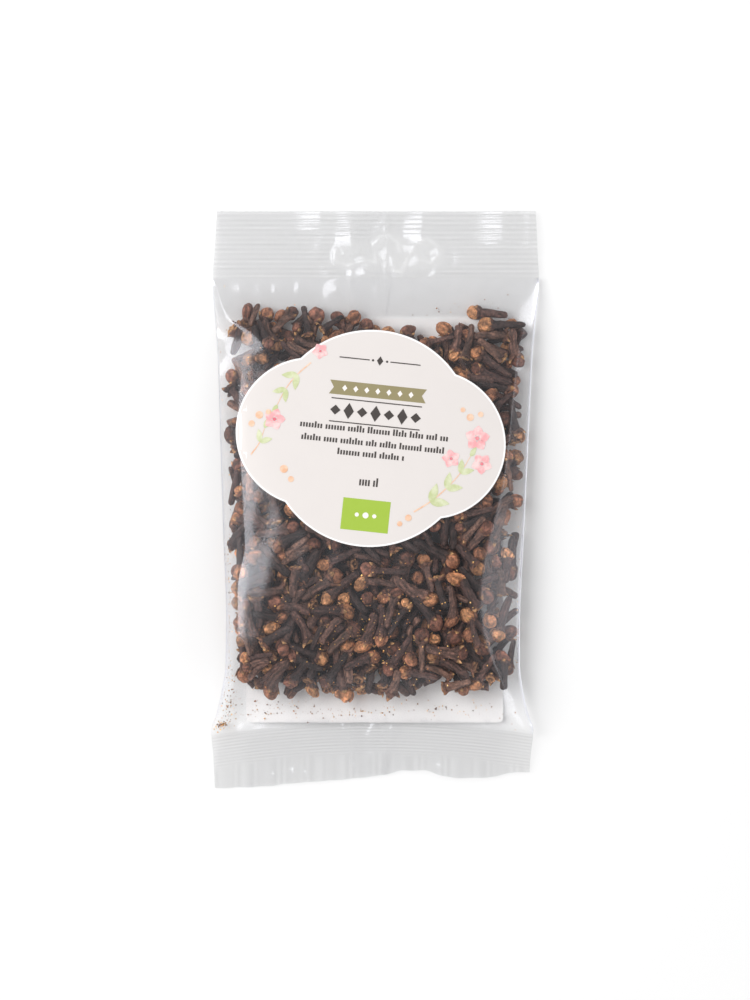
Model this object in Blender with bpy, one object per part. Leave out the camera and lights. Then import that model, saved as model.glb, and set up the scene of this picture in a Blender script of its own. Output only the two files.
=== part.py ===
"""A clear sealed bag of whole cloves, lying on its back with a cloud-shaped label on top.

X runs across the bag, +Y along it to the header seal, +Z up. The bag stands on the origin's plane, with the
origin under the middle of its outline. Lengths below are in millimetres, and meshes are made in metres.
"""

import math

import bmesh
import bpy
from mathutils import Vector
from mathutils.bvhtree import BVHTree
from mathutils.geometry import delaunay_2d_cdt

MM = 0.001

# The bag's outline, as seen from above.
BAG_LENGTH = 173.0
HEADER_SEAL = 20.5
FOOT_SEAL_MIDDLE = 15.7
FOOT_CUT_MIDDLE = 4.5
FOOT_SEAL_BOW = 3.8
BOW_HALF_WIDTH = 48.0
BOW_TOP = -40.0
BOW_FADE = 26.0
LEAN = 0.008
HALF_WIDTH = (
    (-88, 47.0), (-77, 47.5), (-69, 48.2), (-64, 46.6), (-58, 45.2), (-49, 43.9), (-36, 43.8),
    (-9, 44.9), (18, 46.0), (42, 47.0), (51, 47.7), (66, 48.8), (76, 48.3), (88, 47.7),
)
FOOT_CUT = (
    (-52, 0.0), (-34, 0.6), (-25, 1.6), (-9, 2.8), (3, 4.2), (9, 5.5), (15, 5.5),
    (20, 3.9), (25, 3.2), (35, 3.4), (40, 4.7), (52, 5.2),
)

# The filling settles towards the foot, so the bag is thickest there.
FILL_THICKNESS = (
    (-66.5, 0.0), (-63, 6.4), (-58, 11.0), (-50, 14.9), (-40, 16.6), (-28, 16.8), (-9, 15.2),
    (18, 12.0), (42, 9.0), (52, 6.9), (60, 3.4), (66.5, 0.0),
)
FILM_PAIR = 0.5
EDGE_HEIGHT = 0.42
FLAT_BACK = 0.78

# Left and right panel: how far it sinks to its crease, how late it sinks, and how round its facet is.
LEFT_PANEL = (0.065, 9.0, 0.5)
RIGHT_PANEL = (0.07, 2.0, 0.45)

# A crease runs down each side of the front panel, from seal corner to seal corner.
LEFT_CREASE = (
    (-69, 0.985), (-60, 0.965), (-50, 0.95), (-40, 0.935), (-26, 0.925), (-20, 0.90), (-13, 0.865),
    (20, 0.88), (32, 0.86), (40, 0.80), (45, 0.76), (49, 0.81), (54, 0.92), (66, 0.985),
)
RIGHT_CREASE = (
    (-69, 0.975), (-60, 0.90), (-52, 0.86), (-46, 0.80), (-39, 0.738), (-32, 0.715), (-24, 0.72),
    (-14, 0.75), (8, 0.85), (28, 0.88), (42, 0.90), (54, 0.94), (66, 0.985),
)

# Height of the lower film above the table, along the middle.
BACK_LIFT = (
    (-84, 0.6), (-76, 1.4), (-66.5, 2.9), (-61, 1.5), (-54, 0.5), (50, 0.5), (58, 0.9),
    (66, 1.5), (76, 1.3), (87, 0.6),
)
SEAL_WAVE = 0.35
SEAL_WAVELENGTH = 41.0
SEAL_STATION = 66.0

# Crimps pressed into both seals.
CRIMP_PITCH = 2.0
CRIMP_DEPTH = 0.22

# Grid across the bag: edge to crease, crease to middle, and so on.
FACET_COLUMNS = 4
PANEL_COLUMNS = 8
BODY_ROWS = 40
ROW_EASING = 0.055
FOOT_OVERRUN = 8.0
PLACING_ROUNDS = 3
KNIFE_REACH = 30.0

# The front label is the union of four discs, turned on the bag.
LABEL_CENTRE = (-1.3, 18.4)
LABEL_TURN = math.radians(-6.0)
TALL_DISC_RADIUS = 30.3
TALL_DISC_OFFSET = 2.0
WIDE_DISC_RADIUS = 22.1
WIDE_DISC_OFFSET = 18.1
LABEL_ARC_STEPS = 34

# The back label is a rounded rectangle under the bag.
BACK_LABEL_SIZE = (77.0, 120.0)
BACK_LABEL_CENTRE = (-0.1, -5.6)
BACK_LABEL_CORNER = 1.5
CORNER_STEPS = 4
LABEL_SIDE_STEP = 3.0

FRONT_LABEL_GAP = 0.36
BACK_LABEL_GAP = 0.3
FRONT_LABEL_THICKNESS = 0.25
BACK_LABEL_THICKNESS = 0.2
NET_MARGIN = 0.6
PROBE_HEIGHT = 100.0

HEADER_ROOT = BAG_LENGTH / 2 - HEADER_SEAL
FOOT_ROOT = -BAG_LENGTH / 2 + FOOT_CUT_MIDDLE + FOOT_SEAL_MIDDLE


def smooth_through(stations, at):
    """Value at a station along the bag, on a monotone curve through (place, value) pairs."""
    if at <= stations[0][0]:
        return stations[0][1]
    if at >= stations[-1][0]:
        return stations[-1][1]
    index = max(i for i, (place, _) in enumerate(stations) if place <= at)
    (x0, y0), (x1, y1) = stations[index], stations[index + 1]

    def secant(i):
        (xa, ya), (xb, yb) = stations[i], stations[i + 1]
        return (yb - ya) / (xb - xa)

    def tangent(i):
        if i == 0 or i == len(stations) - 1:
            return secant(min(i, len(stations) - 2))
        before, after = secant(i - 1), secant(i)
        if before * after <= 0:
            return 0.0
        return 2 * before * after / (before + after)

    width = x1 - x0
    s = (at - x0) / width
    start, end = tangent(index) * width, tangent(index + 1) * width
    return (
        y0 * (2 * s**3 - 3 * s**2 + 1)
        + start * (s**3 - 2 * s**2 + s)
        + y1 * (3 * s**2 - 2 * s**3)
        + end * (s**3 - s**2)
    )


def edge_x(y, side):
    """Place of the bag's left (-1) or right (+1) outer edge."""
    return LEAN * y + side * smooth_through(HALF_WIDTH, y) + OUTLINE_SHIFT


def outline_shift():
    """Puts the middle of the bag's outline over the origin."""
    lefts, rights = [], []
    for step in range(int(BAG_LENGTH) + 1):
        y = step - BAG_LENGTH / 2
        half = smooth_through(HALF_WIDTH, y)
        lefts.append(LEAN * y - half)
        rights.append(LEAN * y + half)
    return -(min(lefts) + max(rights)) / 2


OUTLINE_SHIFT = outline_shift()


def across(x, y):
    """Where x lies between the bag's middle (0) and its outer edges (-1 and +1)."""
    left, right = edge_x(y, -1), edge_x(y, 1)
    return (2 * x - left - right) / (right - left)


def front_height(u, crease, sink, lateness, roundness):
    """Height of the upper film as a share of the filling's thickness, u from the middle to the edge."""
    if u <= crease:
        return 1.0 - sink * (u / crease) ** lateness
    s = (u - crease) / (1.0 - crease)
    fall = (1 - roundness) * s + roundness * s * s
    return 1.0 - sink - (1.0 - sink - EDGE_HEIGHT) * fall


def back_height(u):
    """Height of the lower film as a share of the thickness: flat on the table, then up to the edge."""
    s = min(1.0, max(0.0, (u - FLAT_BACK) / (1.0 - FLAT_BACK)))
    return EDGE_HEIGHT * (1.0 - math.sqrt(1.0 - s * s))


def crimp(depth):
    """Ripple of a seal at a depth in from its root."""
    if depth <= 0:
        return 0.0
    return CRIMP_DEPTH * math.sin(2 * math.pi * depth / CRIMP_PITCH)


def foot_bow(x):
    """How far the foot seal's root bends down towards its ends."""
    return FOOT_SEAL_BOW * (x / BOW_HALF_WIDTH) ** 2


def seal_depth(x, y):
    return max(y - HEADER_ROOT, FOOT_ROOT - foot_bow(x) - y)


def bow_share(y):
    """How much of the foot seal's bow is left at y: it fades out up the bag."""
    return min(1.0, max(0.0, (BOW_TOP - y) / BOW_FADE))


def station_of(x, y):
    """The station along the bag that a point belongs to."""
    return y + foot_bow(x) * bow_share(y)


def lift(x, station):
    wave = SEAL_WAVE * math.sin(2 * math.pi * x / SEAL_WAVELENGTH + 0.02 * station)
    flatness = 1.0 if abs(station) > SEAL_STATION else 0.0
    return smooth_through(BACK_LIFT, station) + flatness * wave * (0.5 if station > 0 else 1.0)


def film_heights(x, y):
    """(lower, upper) height of the bag at a point of its outline."""
    station = station_of(x, y)
    u = across(x, y)
    creases, panel = (LEFT_CREASE, LEFT_PANEL) if u < 0 else (RIGHT_CREASE, RIGHT_PANEL)
    thickness = smooth_through(FILL_THICKNESS, station)
    share = min(1.0, abs(u))
    base = lift(x, station) + crimp(seal_depth(x, y))
    crease = smooth_through(creases, station)
    upper = base + FILM_PAIR + thickness * front_height(share, crease, *panel)
    lower = base + thickness * back_height(share)
    return lower, upper


def column_shares(y):
    """Places across the bag, as shares, with one column along each crease."""
    left = smooth_through(LEFT_CREASE, y)
    right = smooth_through(RIGHT_CREASE, y)
    stops = (
        (-1.0, -left, FACET_COLUMNS),
        (-left, 0.0, PANEL_COLUMNS),
        (0.0, right, PANEL_COLUMNS),
        (right, 1.0, FACET_COLUMNS),
    )
    shares = [-1.0]
    for start, end, count in stops:
        shares += [start + (end - start) * (i + 1) / count for i in range(count)]
    return shares


def row_stations():
    """Stations of the grid's rows, from past the foot's cut to the header's edge."""
    ridge = CRIMP_PITCH / 2
    foot_rows = int((FOOT_SEAL_MIDDLE + FOOT_OVERRUN) / ridge)
    foot = [FOOT_ROOT - ridge * (i + 0.5) for i in reversed(range(foot_rows))]
    body = []
    for i in range(BODY_ROWS + 1):
        s = i / BODY_ROWS
        eased = s - ROW_EASING * math.sin(2 * math.pi * s)
        body.append(FOOT_ROOT + (HEADER_ROOT - FOOT_ROOT) * eased)
    header_rows = int(HEADER_SEAL / ridge)
    header = [HEADER_ROOT + ridge * (i + 0.5) for i in range(header_rows)]
    return foot + body + header + [BAG_LENGTH / 2]


def bag_grid():
    """Points (x, y) of the bag's grid, by row and column."""
    grid = []
    for station in row_stations():
        row = []
        for share in column_shares(station):
            y = station
            for _ in range(PLACING_ROUNDS):
                middle = (edge_x(y, -1) + edge_x(y, 1)) / 2
                half = (edge_x(y, 1) - edge_x(y, -1)) / 2
                x = middle + share * half
                y = station - foot_bow(x) * bow_share(y)
            row.append((x, y))
        grid.append(row)
    return grid


def add_object(name, mesh, material):
    obj = bpy.data.objects.new(name, mesh)
    obj.data.materials.append(material)
    bpy.context.scene.collection.objects.link(obj)
    return obj


def make_material(name, colour, roughness):
    material = bpy.data.materials.new(name)
    material.use_nodes = True
    shader = material.node_tree.nodes["Principled BSDF"]
    shader.inputs["Base Color"].default_value = (*colour, 1.0)
    shader.inputs["Roughness"].default_value = roughness
    shader.inputs["Metallic"].default_value = 0.0
    return material


def make_bag(material):
    """The filled bag: an upper and a lower film over one grid, joined round the rim."""
    grid = bag_grid()
    mesh = bmesh.new()
    upper, lower = [], []
    for row in grid:
        heights = [film_heights(x, y) for x, y in row]
        upper.append([mesh.verts.new((x * MM, y * MM, h[1] * MM)) for (x, y), h in zip(row, heights)])
        lower.append([mesh.verts.new((x * MM, y * MM, h[0] * MM)) for (x, y), h in zip(row, heights)])
    last_row, last_column = len(grid) - 1, len(grid[0]) - 1
    for r in range(last_row):
        for c in range(last_column):
            mesh.faces.new((upper[r][c], upper[r][c + 1], upper[r + 1][c + 1], upper[r + 1][c]))
            mesh.faces.new((lower[r][c], lower[r + 1][c], lower[r + 1][c + 1], lower[r][c + 1]))
        mesh.faces.new((upper[r][0], upper[r + 1][0], lower[r + 1][0], lower[r][0]))
        mesh.faces.new((upper[r + 1][-1], upper[r][-1], lower[r][-1], lower[r + 1][-1]))
    for c in range(last_column):
        mesh.faces.new((upper[0][c + 1], upper[0][c], lower[0][c], lower[0][c + 1]))
        mesh.faces.new((upper[-1][c], upper[-1][c + 1], lower[-1][c + 1], lower[-1][c]))
    bmesh.ops.recalc_face_normals(mesh, faces=mesh.faces[:])
    bmesh.ops.triangulate(mesh, faces=mesh.faces[:])
    data = bpy.data.meshes.new("bag")
    mesh.to_mesh(data)
    mesh.free()
    return add_object("bag", data, material)


def cut_foot(bag):
    """Trims the foot seal along its uneven, slanting knife cut."""
    points = [(x, -BAG_LENGTH / 2 + rise) for x, rise in FOOT_CUT]
    low = -BAG_LENGTH / 2 - KNIFE_REACH
    points += [(points[-1][0], low), (points[0][0], low)]
    mesh = bmesh.new()
    floor = mesh.faces.new([mesh.verts.new((x * MM, y * MM, -KNIFE_REACH * MM)) for x, y in points])
    made = bmesh.ops.extrude_face_region(mesh, geom=[floor])
    risen = [v for v in made["geom"] if isinstance(v, bmesh.types.BMVert)]
    bmesh.ops.translate(mesh, verts=risen, vec=Vector((0, 0, 2 * KNIFE_REACH * MM)))
    bmesh.ops.recalc_face_normals(mesh, faces=mesh.faces[:])
    data = bpy.data.meshes.new("foot_knife")
    mesh.to_mesh(data)
    mesh.free()
    knife = bpy.data.objects.new("foot_knife", data)
    bpy.context.scene.collection.objects.link(knife)
    knife.hide_render = True
    knife.display_type = "WIRE"
    trim = bag.modifiers.new("foot_cut", "BOOLEAN")
    trim.operation = "DIFFERENCE"
    trim.object = knife


def cloud_outline():
    """The front label's outline: the outer arcs of four overlapping discs, in label space."""
    discs = (
        (WIDE_DISC_OFFSET, 0.0, WIDE_DISC_RADIUS),
        (0.0, TALL_DISC_OFFSET, TALL_DISC_RADIUS),
        (-WIDE_DISC_OFFSET, 0.0, WIDE_DISC_RADIUS),
        (0.0, -TALL_DISC_OFFSET, TALL_DISC_RADIUS),
    )
    notches = []
    for (ax, ay, ar), (bx, by, br) in zip(discs, discs[1:] + discs[:1]):
        gap = math.hypot(bx - ax, by - ay)
        along = (ar**2 - br**2 + gap**2) / (2 * gap)
        out = math.sqrt(ar**2 - along**2)
        ux, uy = (bx - ax) / gap, (by - ay) / gap
        crossings = [
            (ax + along * ux - side * out * uy, ay + along * uy + side * out * ux)
            for side in (-1, 1)
        ]
        notches.append(max(crossings, key=lambda p: math.hypot(*p)))
    points = []
    for i, (cx, cy, radius) in enumerate(discs):
        start = math.atan2(notches[i - 1][1] - cy, notches[i - 1][0] - cx)
        end = math.atan2(notches[i][1] - cy, notches[i][0] - cx)
        turn = (end - start) % (2 * math.pi)
        for step in range(LABEL_ARC_STEPS):
            angle = start + turn * step / LABEL_ARC_STEPS
            points.append((cx + radius * math.cos(angle), cy + radius * math.sin(angle)))
    return points


def front_label_outline():
    turned = []
    for p, q in cloud_outline():
        x = p * math.cos(LABEL_TURN) - q * math.sin(LABEL_TURN) + LABEL_CENTRE[0]
        y = p * math.sin(LABEL_TURN) + q * math.cos(LABEL_TURN) + LABEL_CENTRE[1]
        turned.append((x, y))
    return turned


def back_label_outline():
    """A rounded rectangle with extra points along its sides, so that it follows the film."""
    width, length = BACK_LABEL_SIZE
    corners = (
        (width / 2, length / 2, 0), (-width / 2, length / 2, 90),
        (-width / 2, -length / 2, 180), (width / 2, -length / 2, 270),
    )
    points = []
    for cx, cy, start in corners:
        inner_x = cx - math.copysign(BACK_LABEL_CORNER, cx)
        inner_y = cy - math.copysign(BACK_LABEL_CORNER, cy)
        for step in range(CORNER_STEPS + 1):
            angle = math.radians(start + 90 * step / CORNER_STEPS)
            x = inner_x + BACK_LABEL_CORNER * math.cos(angle) + BACK_LABEL_CENTRE[0]
            y = inner_y + BACK_LABEL_CORNER * math.sin(angle) + BACK_LABEL_CENTRE[1]
            points.append((x, y))
    dense = []
    for a, b in zip(points, points[1:] + points[:1]):
        pieces = max(1, round(math.dist(a, b) / LABEL_SIDE_STEP))
        dense += [
            (a[0] + (b[0] - a[0]) * i / pieces, a[1] + (b[1] - a[1]) * i / pieces)
            for i in range(pieces)
        ]
    return dense


def inside(point, outline, margin):
    """True if a point lies in the outline and at least margin from it."""
    x, y = point
    within = False
    for (ax, ay), (bx, by) in zip(outline, outline[1:] + outline[:1]):
        if (ay > y) != (by > y) and x < (bx - ax) * (y - ay) / (by - ay) + ax:
            within = not within
        length = math.dist((ax, ay), (bx, by))
        s = max(0.0, min(1.0, ((x - ax) * (bx - ax) + (y - ay) * (by - ay)) / length**2))
        if math.dist((x, y), (ax + s * (bx - ax), ay + s * (by - ay))) < margin:
            return False
    return within


def make_label(name, outline, bag_tree, sign, gap, thickness, material):
    """A thin sheet that follows the bag's film at a gap: above it (sign 1) or below it (sign -1)."""
    grid_points = [point for row in bag_grid() for point in row if abs(point[1]) < SEAL_STATION]
    inner = [point for point in grid_points if inside(point, outline, NET_MARGIN)]
    vertices = [Vector(point) for point in outline + inner]
    rim = [(i, (i + 1) % len(outline)) for i in range(len(outline))]
    points, _, faces, *_ = delaunay_2d_cdt(vertices, rim, [], 1, 1e-5)
    mesh = bmesh.new()
    near, far = [], []
    for x, y in points:
        start = Vector((x * MM, y * MM, sign * PROBE_HEIGHT * MM))
        hit = bag_tree.ray_cast(start, Vector((0, 0, -sign)))[0]
        near.append(mesh.verts.new((x * MM, y * MM, hit.z + sign * gap * MM)))
        far.append(mesh.verts.new((x * MM, y * MM, hit.z + sign * (gap + thickness) * MM)))
    for face in faces:
        mesh.faces.new([far[i] for i in face])
        mesh.faces.new([near[i] for i in reversed(face)])
    count = len(outline)
    for i in range(count):
        j = (i + 1) % count
        mesh.faces.new((near[i], near[j], far[j], far[i]))
    bmesh.ops.recalc_face_normals(mesh, faces=mesh.faces[:])
    data = bpy.data.meshes.new(name)
    mesh.to_mesh(data)
    mesh.free()
    return add_object(name, data, material)


def main():
    for old in list(bpy.data.objects):
        bpy.data.objects.remove(old)
    film = make_material("clear_film", (0.83, 0.82, 0.82), 0.12)
    paper = make_material("label_paper", (0.92, 0.88, 0.86), 0.55)
    bag = make_bag(film)
    cut_foot(bag)
    bpy.context.view_layer.update()
    tree = BVHTree.FromObject(bag, bpy.context.evaluated_depsgraph_get())
    make_label("front_label", front_label_outline(), tree, 1, FRONT_LABEL_GAP, FRONT_LABEL_THICKNESS, paper)
    make_label("back_label", back_label_outline(), tree, -1, BACK_LABEL_GAP, BACK_LABEL_THICKNESS, paper)


main()
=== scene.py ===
import math

import bpy
import numpy as np
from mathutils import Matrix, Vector
from mathutils.geometry import delaunay_2d_cdt


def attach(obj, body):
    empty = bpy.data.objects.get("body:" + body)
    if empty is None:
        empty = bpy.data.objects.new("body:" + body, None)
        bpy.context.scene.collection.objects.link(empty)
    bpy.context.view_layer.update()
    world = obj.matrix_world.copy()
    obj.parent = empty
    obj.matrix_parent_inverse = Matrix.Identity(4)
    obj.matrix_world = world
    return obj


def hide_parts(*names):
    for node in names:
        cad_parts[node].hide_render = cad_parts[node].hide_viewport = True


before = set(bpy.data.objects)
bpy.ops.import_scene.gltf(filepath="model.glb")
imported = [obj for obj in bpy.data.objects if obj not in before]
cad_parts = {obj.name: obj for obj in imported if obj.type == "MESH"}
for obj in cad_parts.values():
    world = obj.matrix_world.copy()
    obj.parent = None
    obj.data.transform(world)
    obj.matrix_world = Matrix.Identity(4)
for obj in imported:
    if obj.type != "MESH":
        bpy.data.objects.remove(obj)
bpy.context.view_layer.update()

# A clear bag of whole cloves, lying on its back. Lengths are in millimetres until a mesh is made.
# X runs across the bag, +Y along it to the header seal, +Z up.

MM = 0.001

# The bag's outline. The foot seal's root bows down by FOOT_SEAL_BOW at BOW_REACH from the middle, and the
# bow fades out over BOW_FADE below BOW_TOP.
BAG_LENGTH = 173.0
HEADER_SEAL = 20.5
FOOT_SEAL_MIDDLE = 15.7
FOOT_CUT_RISE = 4.5
FOOT_SEAL_BOW = 3.8
BOW_REACH = 48.0
BOW_TOP = -40.0
BOW_FADE = 26.0
LEAN = 0.008
HALF_WIDTH = (
    (-88, 47.0), (-77, 47.5), (-69, 48.2), (-64, 46.6), (-58, 45.2), (-49, 43.9), (-36, 43.8),
    (-9, 44.9), (18, 46.0), (42, 47.0), (51, 47.7), (66, 48.8), (76, 48.3), (88, 47.7),
)
FOOT_CUT = (
    (-52, 0.0), (-34, 0.6), (-25, 1.6), (-9, 2.8), (3, 4.2), (9, 5.5), (15, 5.5),
    (20, 3.9), (25, 3.2), (35, 3.4), (40, 4.7), (52, 5.2),
)
HEADER_ROOT = BAG_LENGTH / 2 - HEADER_SEAL
FOOT_ROOT = -BAG_LENGTH / 2 + FOOT_CUT_RISE + FOOT_SEAL_MIDDLE

# The filling's thickness along the bag, and the shape of a cut across it.
FILL_THICKNESS = (
    (-66.5, 0.0), (-63, 6.4), (-58, 11.0), (-50, 14.9), (-40, 16.6), (-28, 16.8), (-9, 15.2),
    (18, 12.0), (42, 9.0), (52, 6.9), (60, 3.4), (66.5, 0.0),
)
FILM_PAIR = 0.5
EDGE_HEIGHT = 0.42
FLAT_BACK = 0.78
# Each side of the upper film: how far the panel sinks to its crease, how late, and how round the crease is.
LEFT_PANEL = (0.065, 9.0, 0.12)
RIGHT_PANEL = (0.07, 2.0, 0.05)
LEFT_CREASE = (
    (-69, 0.985), (-60, 0.965), (-50, 0.95), (-40, 0.935), (-26, 0.925), (-20, 0.90), (-13, 0.865),
    (20, 0.88), (32, 0.86), (40, 0.80), (45, 0.76), (49, 0.81), (54, 0.92), (66, 0.985),
)
RIGHT_CREASE = (
    (-69, 0.975), (-60, 0.90), (-52, 0.86), (-46, 0.80), (-39, 0.738), (-32, 0.715), (-24, 0.72),
    (-14, 0.75), (8, 0.85), (28, 0.88), (42, 0.90), (54, 0.94), (66, 0.985),
)
BACK_LIFT = (
    (-84, 0.6), (-76, 1.4), (-66.5, 2.9), (-61, 1.5), (-54, 0.5), (50, 0.5), (58, 0.9),
    (66, 1.5), (76, 1.3), (87, 0.6),
)
SEAL_WAVE = 0.35
SEAL_WAVELENGTH = 41.0
SEAL_CURL = 0.02

# The film's grid: columns across the bag, rows in the foot seal, and the steps between the other rows.
FILM_COLUMNS = 230
FOOT_ROWS = 56
BODY_STEP = 1.45
HEADER_STEP = 0.3
PLACING_ROUNDS = 3

# The welded seam down the bag's back.
FIN_SEAM_LEFT = -7.4
FIN_SEAM_RIGHT = 3.4
FIN_SEAM_THICKNESS = 0.02
FIN_SEAM_COLUMNS = 12

# The rows pressed into the seals, and places (x, spread, how much more) where the header's jaws bit harder.
HEADER_CRIMP_PITCH = 1.45
FOOT_CRIMP_PITCH = 0.95
CRIMP_DEPTH = 0.085
FOOT_CRIMP_SHARE = 0.7
HARD_BITES = ((-12.0, 7.0, 1.1), (42.0, 9.0, 0.6))

# Gathers beside the header seal and beside the foot seal: how far they reach, how soon they start, their
# height and pitch, and the sway, slowness and phase of their wander.
GATHERS = ((5.0, 1.5, 0.2, 7.3, 0.9, 0.21, 0.0), (4.0, 1.2, 0.22, 5.6, 1.3, 0.17, 2.0))
UPPER_LUMPS = 0.09
LOWER_LUMPS = 0.04

# Fold lines in the film: start and end (x, y), width and height. A fold fades out over a quarter of its
# length at each end, or over FOLD_FADE if that is more.
FOLD_FADE = 3.5
FOLDS = (
    ((-7.4, 86.0), (-7.2, 58.0), 0.7, 0.22),
    ((3.4, 86.0), (3.2, 60.0), 0.7, 0.16),
    ((4.8, 67.0), (4.7, 61.0), 0.6, 0.2),
    ((-8.6, 91.0), (-6.4, 72.0), 4.4, 1.3),
    ((-16.4, 93.0), (-16.4, 79.0), 4.4, 1.3),
    ((15.0, 91.0), (14.0, 74.0), 3.4, 0.95),
    ((38.4, 93.0), (38.4, 74.0), 4.6, 1.4),
    ((46.9, 93.0), (46.9, 72.0), 3.6, 1.15),
    ((-13.5, 66.0), (-5.0, 55.0), 3.0, 0.95),
    ((9.4, 64.5), (9.2, 58.5), 0.9, 0.3),
    ((24.0, 62.0), (29.0, 56.0), 1.6, 0.3),
    ((-41.5, 65.5), (-38.0, 59.5), 1.6, 0.42),
    ((-30.5, 65.5), (-29.5, 60.0), 1.4, 0.42),
    ((-23.4, 65.5), (-22.6, 61.0), 1.1, 0.34),
    ((-18.8, 65.5), (-18.4, 60.5), 1.2, 0.44),
    ((1.0, -65.0), (-3.6, -74.0), 0.8, 0.34),
    ((2.8, -66.5), (2.9, -79.0), 0.7, 0.24),
    ((5.6, -66.5), (4.8, -71.0), 0.7, 0.28),
    ((4.8, -71.0), (6.4, -78.0), 0.7, 0.26),
    ((-8.9, -62.0), (-8.9, -84.0), 0.8, 0.34),
    ((-30.0, -80.0), (-30.6, -86.0), 0.8, 0.3),
    ((-24.1, -78.5), (-24.4, -86.0), 1.1, 0.42),
    ((-20.4, -79.0), (-20.2, -86.0), 1.0, 0.36),
    ((-15.4, -79.0), (-15.1, -86.0), 0.9, 0.33),
    ((-6.0, -76.5), (-5.4, -85.0), 1.1, 0.42),
    ((-0.8, -73.0), (0.2, -85.0), 2.2, 0.5),
    ((19.5, -77.0), (20.5, -84.5), 1.6, 0.5),
    ((33.0, -76.0), (33.6, -82.0), 0.9, 0.3),
    ((-3.0, -55.0), (-14.5, -66.0), 1.0, 0.3),
    ((-3.0, -55.0), (8.5, -65.0), 1.0, 0.3),
    ((22.8, -12.0), (23.6, -40.0), 3.6, 0.8),
    ((23.4, -34.0), (24.2, -64.0), 3.6, 0.75),
)

# The hang slot, pressed through the header but with its flap still in place.
SLOT_CENTRE = (3.6, 73.1)
SLOT_LENGTH = 31.2
SLOT_LOBE_HEIGHT = 5.7
SLOT_BUMP_WIDTH = 8.2
SLOT_BUMP_HEIGHT = 3.5
# Sharp lines that the flap is crumpled along: an arch, a petal beside it and a low crumple on the left.
FLAP_LINES = (
    ((0.1, 71.9), (-0.3, 76.5), (1.4, 78.9), (4.1, 79.2), (6.7, 77.2), (7.4, 74.6)),
    ((10.7, 73.9), (12.0, 76.8), (15.3, 78.3), (18.0, 76.5), (19.0, 73.6), (16.7, 71.2), (13.4, 71.9)),
    ((-11.8, 75.2), (-12.2, 71.9), (-8.5, 70.2), (-2.5, 71.9), (0.1, 71.2)),
    ((4.9, 72.6), (5.6, 68.6), (8.2, 68.2), (9.6, 72.4)),
)
FLAP_LINE_WIDTH = 0.5
FLAP_LINE_HEIGHT = 0.3
# Creases of the flap, and of the film around it: pitch, turn, bend and depth.
FLAP_CREASES = ((7.4, 0.5, 0.9, 0.15), (5.1, 1.9, 0.6, 0.11), (3.7, -0.8, 0.4, 0.07))
ROUND_CREASES = ((10.5, 0.25, 1.1, 0.1), (8.3, 2.3, 0.8, 0.08))
CREASE_SHARE = 0.8
FLAP_LIFT = 0.2

# Shares of the film's sheen lost in the seals, on the flap, in the bottom corners and in a dull band below
# the label, gained in a bright band up the left side, and added along the left and the right edge.
SEAL_SHEEN_LOSS = 0.45
FLAP_SHEEN_LOSS = 0.5
CORNER_SHEEN_LOSS = 0.55
DULL_BAND_LOSS = 0.6
BRIGHT_BAND_GAIN = 0.6
EDGE_SHEEN = (1.5, 9.0)
EDGE_SHEEN_WIDTH = 0.013
# Light taken by the film, and more in the seals. Painted shade darkens the film below the header seal and the
# seals' pressed rows, and painted light and shade make streaks near the foot seal's cut.
FILM_LIGHT_LOSS = 0.15
UNDER_HEADER_PAINTED_SHADE = 0.35
SEAL_LIGHT_LOSS = 0.4
HEADER_ROW_PAINTED_SHADE = 0.32
FOOT_ROW_PAINTED_SHADE = 0.3
FOOT_STREAK_PAINTED_SHADING = 0.14

# The front label is the union of four discs, turned on the bag.
LABEL_CENTRE = (-1.3, 18.4)
LABEL_TURN = math.radians(-6.0)
TALL_DISC_RADIUS = 30.3
TALL_DISC_OFFSET = 2.0
WIDE_DISC_RADIUS = 22.1
WIDE_DISC_OFFSET = 18.1
LABEL_LIFT = 0.06
LABEL_THICKNESS = 0.12
LABEL_RIM = 0.55
LABEL_NET_STEP = 1.6

# The back label is a rounded rectangle under the bag, printed side down.
BACK_LABEL_SIZE = (77.0, 121.0)
BACK_LABEL_CENTRE = (-0.1, -6.1)
BACK_LABEL_CORNER = 1.5
BACK_LABEL_THICKNESS = 0.2
BACK_LABEL_NET_STEP = 2.5

# The filling.
CLOVE_SEED = 43
CRUMB_SEED = 9
CLOVE_COUNT = 610
PIECE_COUNT = 250
LOOSE_HEAD_SHARE = 0.3
HEADLESS_SHARE = 0.24
SETTLING_STEPS = 700
# The heap's outline: its foot and top across the bag, and its left and right sides along it.
HEAP_FOOT = ((-46, -50.6), (-41, -53.0), (-34, -56.0), (-22, -57.4), (0, -57.8), (22, -56.2), (44, -55.0))
HEAP_TOP = (
    (-46, 56.5), (-13, 57.2), (-6, 53.2), (2, 50.2), (20, 49.0), (27, 52.0), (33, 55.0), (39, 52.4),
    (46, 51.6),
)
HEAP_LEFT = (
    (-60, -38.6), (-44, -40.0), (-24, -41.6), (-12, -42.0), (8, -42.9), (30, -43.0), (44, -44.0),
    (60, -46.0),
)
HEAP_RIGHT = ((-60, 42.2), (-10, 42.9), (4, 42.6), (32, 42.8), (46, 43.9), (60, 46.0))
# Room kept between a clove's balls, from its foot to its head, and the film, and near the heap's top.
BALL_CLEARANCE = (0.35, 0.35, 0.35, 0.4, 0.8, 0.45)
TOP_CLEARANCE = 0.3
TOP_CLEARANCE_FROM = 44.0
PRESS_GAP = 0.25
PRESS_ROUNDS = 3
SLOPE_STEP = 0.2
OWN_PLACES = 40


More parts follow.
